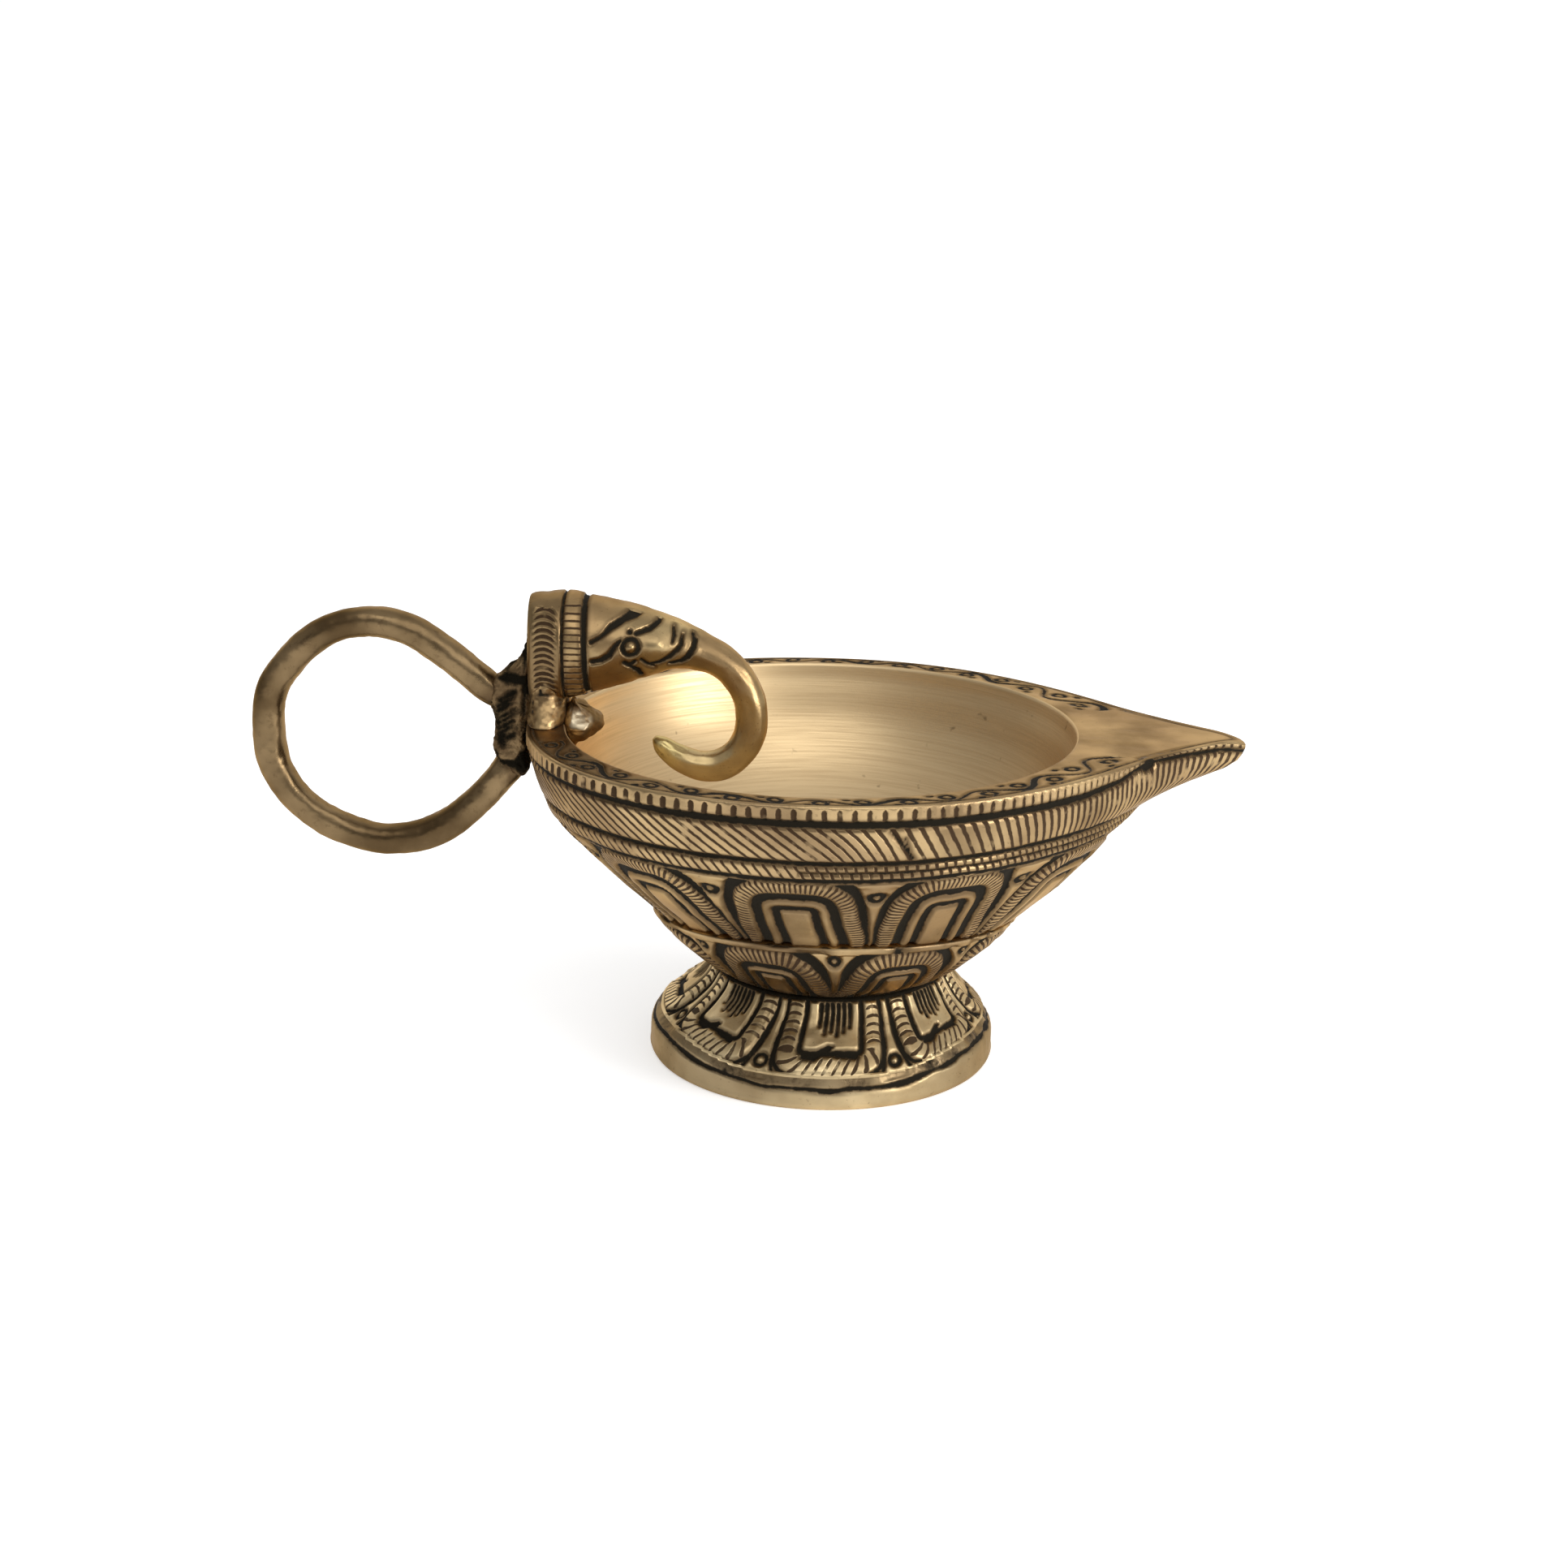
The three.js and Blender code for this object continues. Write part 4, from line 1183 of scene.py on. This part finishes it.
# Middle, reach and height of the soft swellings of each side: cheek, brow, jaw and eyeball.
FACE_SWELLS = [
    ((-25.0, 63.6), (2.6, 2.0), 0.45),
    ((-29.3, 64.2), (2.4, 2.0), 0.5),
    ((-31.5, 57.6), (2.2, 1.6), -0.5),
    (EYE, (0.62, 0.62), 0.35),
]
MANE_TOP = 68.9
MANE_BACK_X = -43.7
MANE_WIDTH = 3.5
MANE_PITCH = 0.93


def mane_rows(x, z):
    """Share of the way across the mane from its back edge, and the count of its bowed rows."""
    share = (x - MANE_BACK_X) / MANE_WIDTH
    return share, (z + 0.7 * (2 * share - 1) ** 2) / MANE_PITCH


def face_engraving(engraving, x, z, away):
    """Brow, eye, cheek and mouth, the ladder collar and the fringe of the mane."""
    for marks in FACE_STROKES:
        engraving.cut(stroke(x, z, marks), away)
    eye = ring_line(x - EYE[0], z - EYE[1], 1.12, 0.26)
    lid = np.hypot(x - EYE[0] + 0.1, z - EYE[1] - 2.1) - 0.3
    engraving.cut(np.minimum(eye, lid), away)

    collar_low, collar_high = -39.4 + 0.015 * (72 - z), -36.25 + 0.03 * (72 - z)
    engraving.cut(np.abs(x - collar_low) - 0.13)
    engraving.cut(np.abs(x - collar_high) - 0.33)
    ladder = (x > collar_low) & (x < collar_high) & (z < 70.0)
    engraving.hatching(z / 0.95, 0.15, ladder)

    share, rows = mane_rows(x, z)
    engraving.cut(0.4, x < collar_low)
    tone = 0.26 * ease(0.0, 0.2, share) * ease(1.0, 0.85, share)
    engraving.hatching(rows, tone, (share > 0) & (share < 1) & (z < MANE_TOP))


def head_piece():
    at = np.concatenate([np.linspace(0, 26, 210, endpoint=False), np.linspace(26, 60, 150)])
    x, z, tall, wide, lean, power = smooth(HEAD, at).T[:, :, None]
    turn = even_turn(200)[None, :]
    c, s = superellipse(turn, power)
    tilt = np.radians(lean)
    up, side = tall * c, wide * s
    base = np.stack([x + up * np.sin(tilt), side + 0 * x, z + up * np.cos(tilt)], -1)
    px, pz = base[..., 0], base[..., 2]
    engraving = Engraving(px)
    facing = (np.abs(s) > 0.3) & (at[:, None] < 30)
    face_engraving(engraving, px, pz, facing)
    height = relief(engraving.groove, 0.3, 0.35)
    on_side = np.abs(s) ** 2
    for middle, reach, swell in FACE_SWELLS:
        away = ((px - middle[0]) / reach[0]) ** 2 + ((pz - middle[1]) / reach[1]) ** 2
        height += on_side * swell * np.exp(-away)
    mane = ease(-43.9, -43.4, px) * ease(-39.8, -40.4, px) * (pz < MANE_TOP)
    height -= mane * 0.12 * np.cos(TURN * mane_rows(px, pz)[1])
    height += 0.07 * ripple(px, (40, 20), 41)
    height[:3] = 0
    height[-6:] = 0
    trunk = (raise_by(base, height, (-30, 0, 60)), engraving.packed())
    return lobed_piece("elephant_head_visual", HEAD_METAL, trunk, neck_body())


def neck_body():
    """The neck under the mane, spreading into a lumpy foot on the rear lobe of the rim."""
    low = 51.35
    shape = [
        (low, 2.95, 8.4), (52, 3, 8), (53.3, 2.95, 7), (54.8, 2.8, 6.1), (57, 2.7, 5.6), (60, 2.4, 5),
    ]
    levels = np.linspace(low, 60, 52)
    long, wide = smooth(shape, levels).T
    turn = even_turn(120)
    c, s = superellipse(turn, 2.4)
    x = -42.05 + long[:, None] * c
    base = np.stack([x, wide[:, None] * s, levels[:, None] + 0 * x], -1)
    height = 0.22 * ripple(x, (7, 9), 44) + 0.05 * ripple(x, (26, 40), 45)
    height *= ease(0, 0.5, levels - low)[:, None]
    spots = 0.85 + ripple(x, (14, 26), 46)
    dark = np.minimum(spots, levels[:, None] - 51.2 + 0.3 * spots)
    return raise_by(base, height, (-42, 0, 56)), groove_only(dark)


# ---- brazing lump ----
def braze_piece():
    """Lumpy fillet of brazing metal in front of the neck, with one flattened facet."""
    rise = np.linspace(0.06, math.pi - 0.06, 60)[:, None]
    turn = even_turn(96)[None, :]
    radial = np.sin(rise)
    middle = np.array([-37.9, -0.3, 50.7])
    toward = np.cos(turn)
    length = mix(2.2, 4.2, ease(-0.3, 0.3, toward))
    base = middle + np.stack([
        length * radial * toward,
        5.8 * radial * np.sin(turn),
        3.7 * np.cos(rise) * mix(1.0, 0.75, ease(-0.2, 1.0, toward)) + 0 * turn,
    ], -1)
    bumps = 1 + 0.09 * ripple(base, (8, 11), 51) - 0.07
    bumps += 0.02 * ripple(base, (24, 36), 52)
    lump = middle + (base - middle) * bumps[..., None]
    facing = np.array([-0.15, -0.8, 0.6])
    over = np.maximum((lump - middle) @ facing - 3.6, 0)
    lump = lump - over[..., None] * facing * 0.5
    return lobed_piece("neck_braze_visual", BRAZE_METAL_PAINTED_HIGHLIGHT, (lump, None))


# ---- assembly ----
PIECES = [
    (bowl_piece, "bowl", "aged_brass"),
    (collar_piece, "lotus_collar", "aged_brass"),
    (foot_piece, "foot", "aged_brass"),
    (ring_piece, "finger_ring", "aged_brass"),
    (stem_piece, "handle_stem", "dark_brass"),
    (head_piece, "elephant_head", "aged_brass"),
    (braze_piece, "neck_braze", "bright_brass"),
]
for make, node, slot in PIECES:
    piece = make()
    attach(piece, "root")
    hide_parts(node)

for node in ("foot_stud", "foot_washer", "foot_nut"):
    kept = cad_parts[node]
    for holder in kept.material_slots:
        holder.material = BARE


# ---- floor, light and camera ----
FLOOR_REACH = 8.0
FLOOR_GLOW = 0.45


def pale_floor():
    mesh = bpy.data.meshes.new("floor")
    reach = FLOOR_REACH
    corners = [(-reach, -reach, 0), (reach, -reach, 0), (reach, reach, 0), (-reach, reach, 0)]
    mesh.from_pydata(corners, [], [(0, 1, 2, 3)])
    n = Nodes(bpy.data.materials.new("pale_floor"))
    tone = n.blend(n.noise(3, 2), (0.88, 0.88, 0.88, 1), (0.91, 0.91, 0.91, 1))
    n.shader.inputs["Emission Color"].default_value = (1, 1, 1, 1)
    n.shader.inputs["Emission Strength"].default_value = FLOOR_GLOW
    mesh.materials.append(n.surface(tone, 0.9))
    floor = bpy.data.objects.new("floor", mesh)
    bpy.context.scene.collection.objects.link(floor)


def soft_light(name, place, size, power):
    """An area light aimed at the middle of the lamp."""
    data = bpy.data.lights.new(name, "AREA")
    data.shape = "RECTANGLE"
    data.size, data.size_y = size
    data.energy = power
    light = bpy.data.objects.new(name, data)
    light.location = place
    aim = Vector((0, 0, 0.04)) - Vector(place)
    light.rotation_euler = aim.to_track_quat("-Z", "Y").to_euler()
    bpy.context.scene.collection.objects.link(light)


# Axis, where the light starts to rise and is full along it, and how much it adds.
SKY_RAMPS = [(0, -0.15, 0.85, 0.23), (1, 0.3, 0.85, 0.7), (2, 0.2, 1.0, 0.35)]
SKY_BASE = 0.32


def studio():
    """White surroundings, brighter behind, above and to the right."""
    world = bpy.data.worlds.new("studio")
    n = Nodes(world, "Background")
    facing = n.add("ShaderNodeTexCoord").outputs["Generated"]
    split = n.add("ShaderNodeSeparateXYZ", {0: facing})
    level = SKY_BASE
    for axis, low, high, gain in SKY_RAMPS:
        level = n.maths("ADD", level, n.ramp(split.outputs[axis], low, high, 0.0, gain))
    n.set(n.shader.inputs["Strength"], level)
    n.set(n.shader.inputs["Color"], (1, 1, 1, 1))
    bpy.context.scene.world = world
    soft_light("key", (0.2, -0.85, 1.1), (1.5, 0.9), 6)
    soft_light("side", (0.85, -0.46, 0.26), (0.42, 0.42), 5)


ELEVATION, AZIMUTH, ROLL = 16.55, 2.2, 1.15
DISTANCE = 0.380
TARGET = (-6.49, 0, 41.73)
LENS = 57.764
SENSOR = 36


def camera():
    """A low view from the front, a little rolled."""
    elevation, azimuth, roll = (math.radians(a) for a in (ELEVATION, AZIMUTH, ROLL))
    back = Vector((
        math.sin(azimuth) * math.cos(elevation),
        -math.cos(azimuth) * math.cos(elevation),
        math.sin(elevation),
    ))
    data = bpy.data.cameras.new("camera")
    data.sensor_width = SENSOR
    data.lens = LENS
    data.clip_start = 0.01
    shot = bpy.data.objects.new("camera", data)
    shot.location = Vector(in_frame(TARGET)) + back * DISTANCE
    level = back.to_track_quat("Z", "Y")
    shot.rotation_euler = (level @ Quaternion((0, 0, 1), roll)).to_euler()
    bpy.context.scene.collection.objects.link(shot)
    bpy.context.scene.camera = shot


pale_floor()
studio()
camera()
bpy.context.scene.view_settings.view_transform = "Standard"
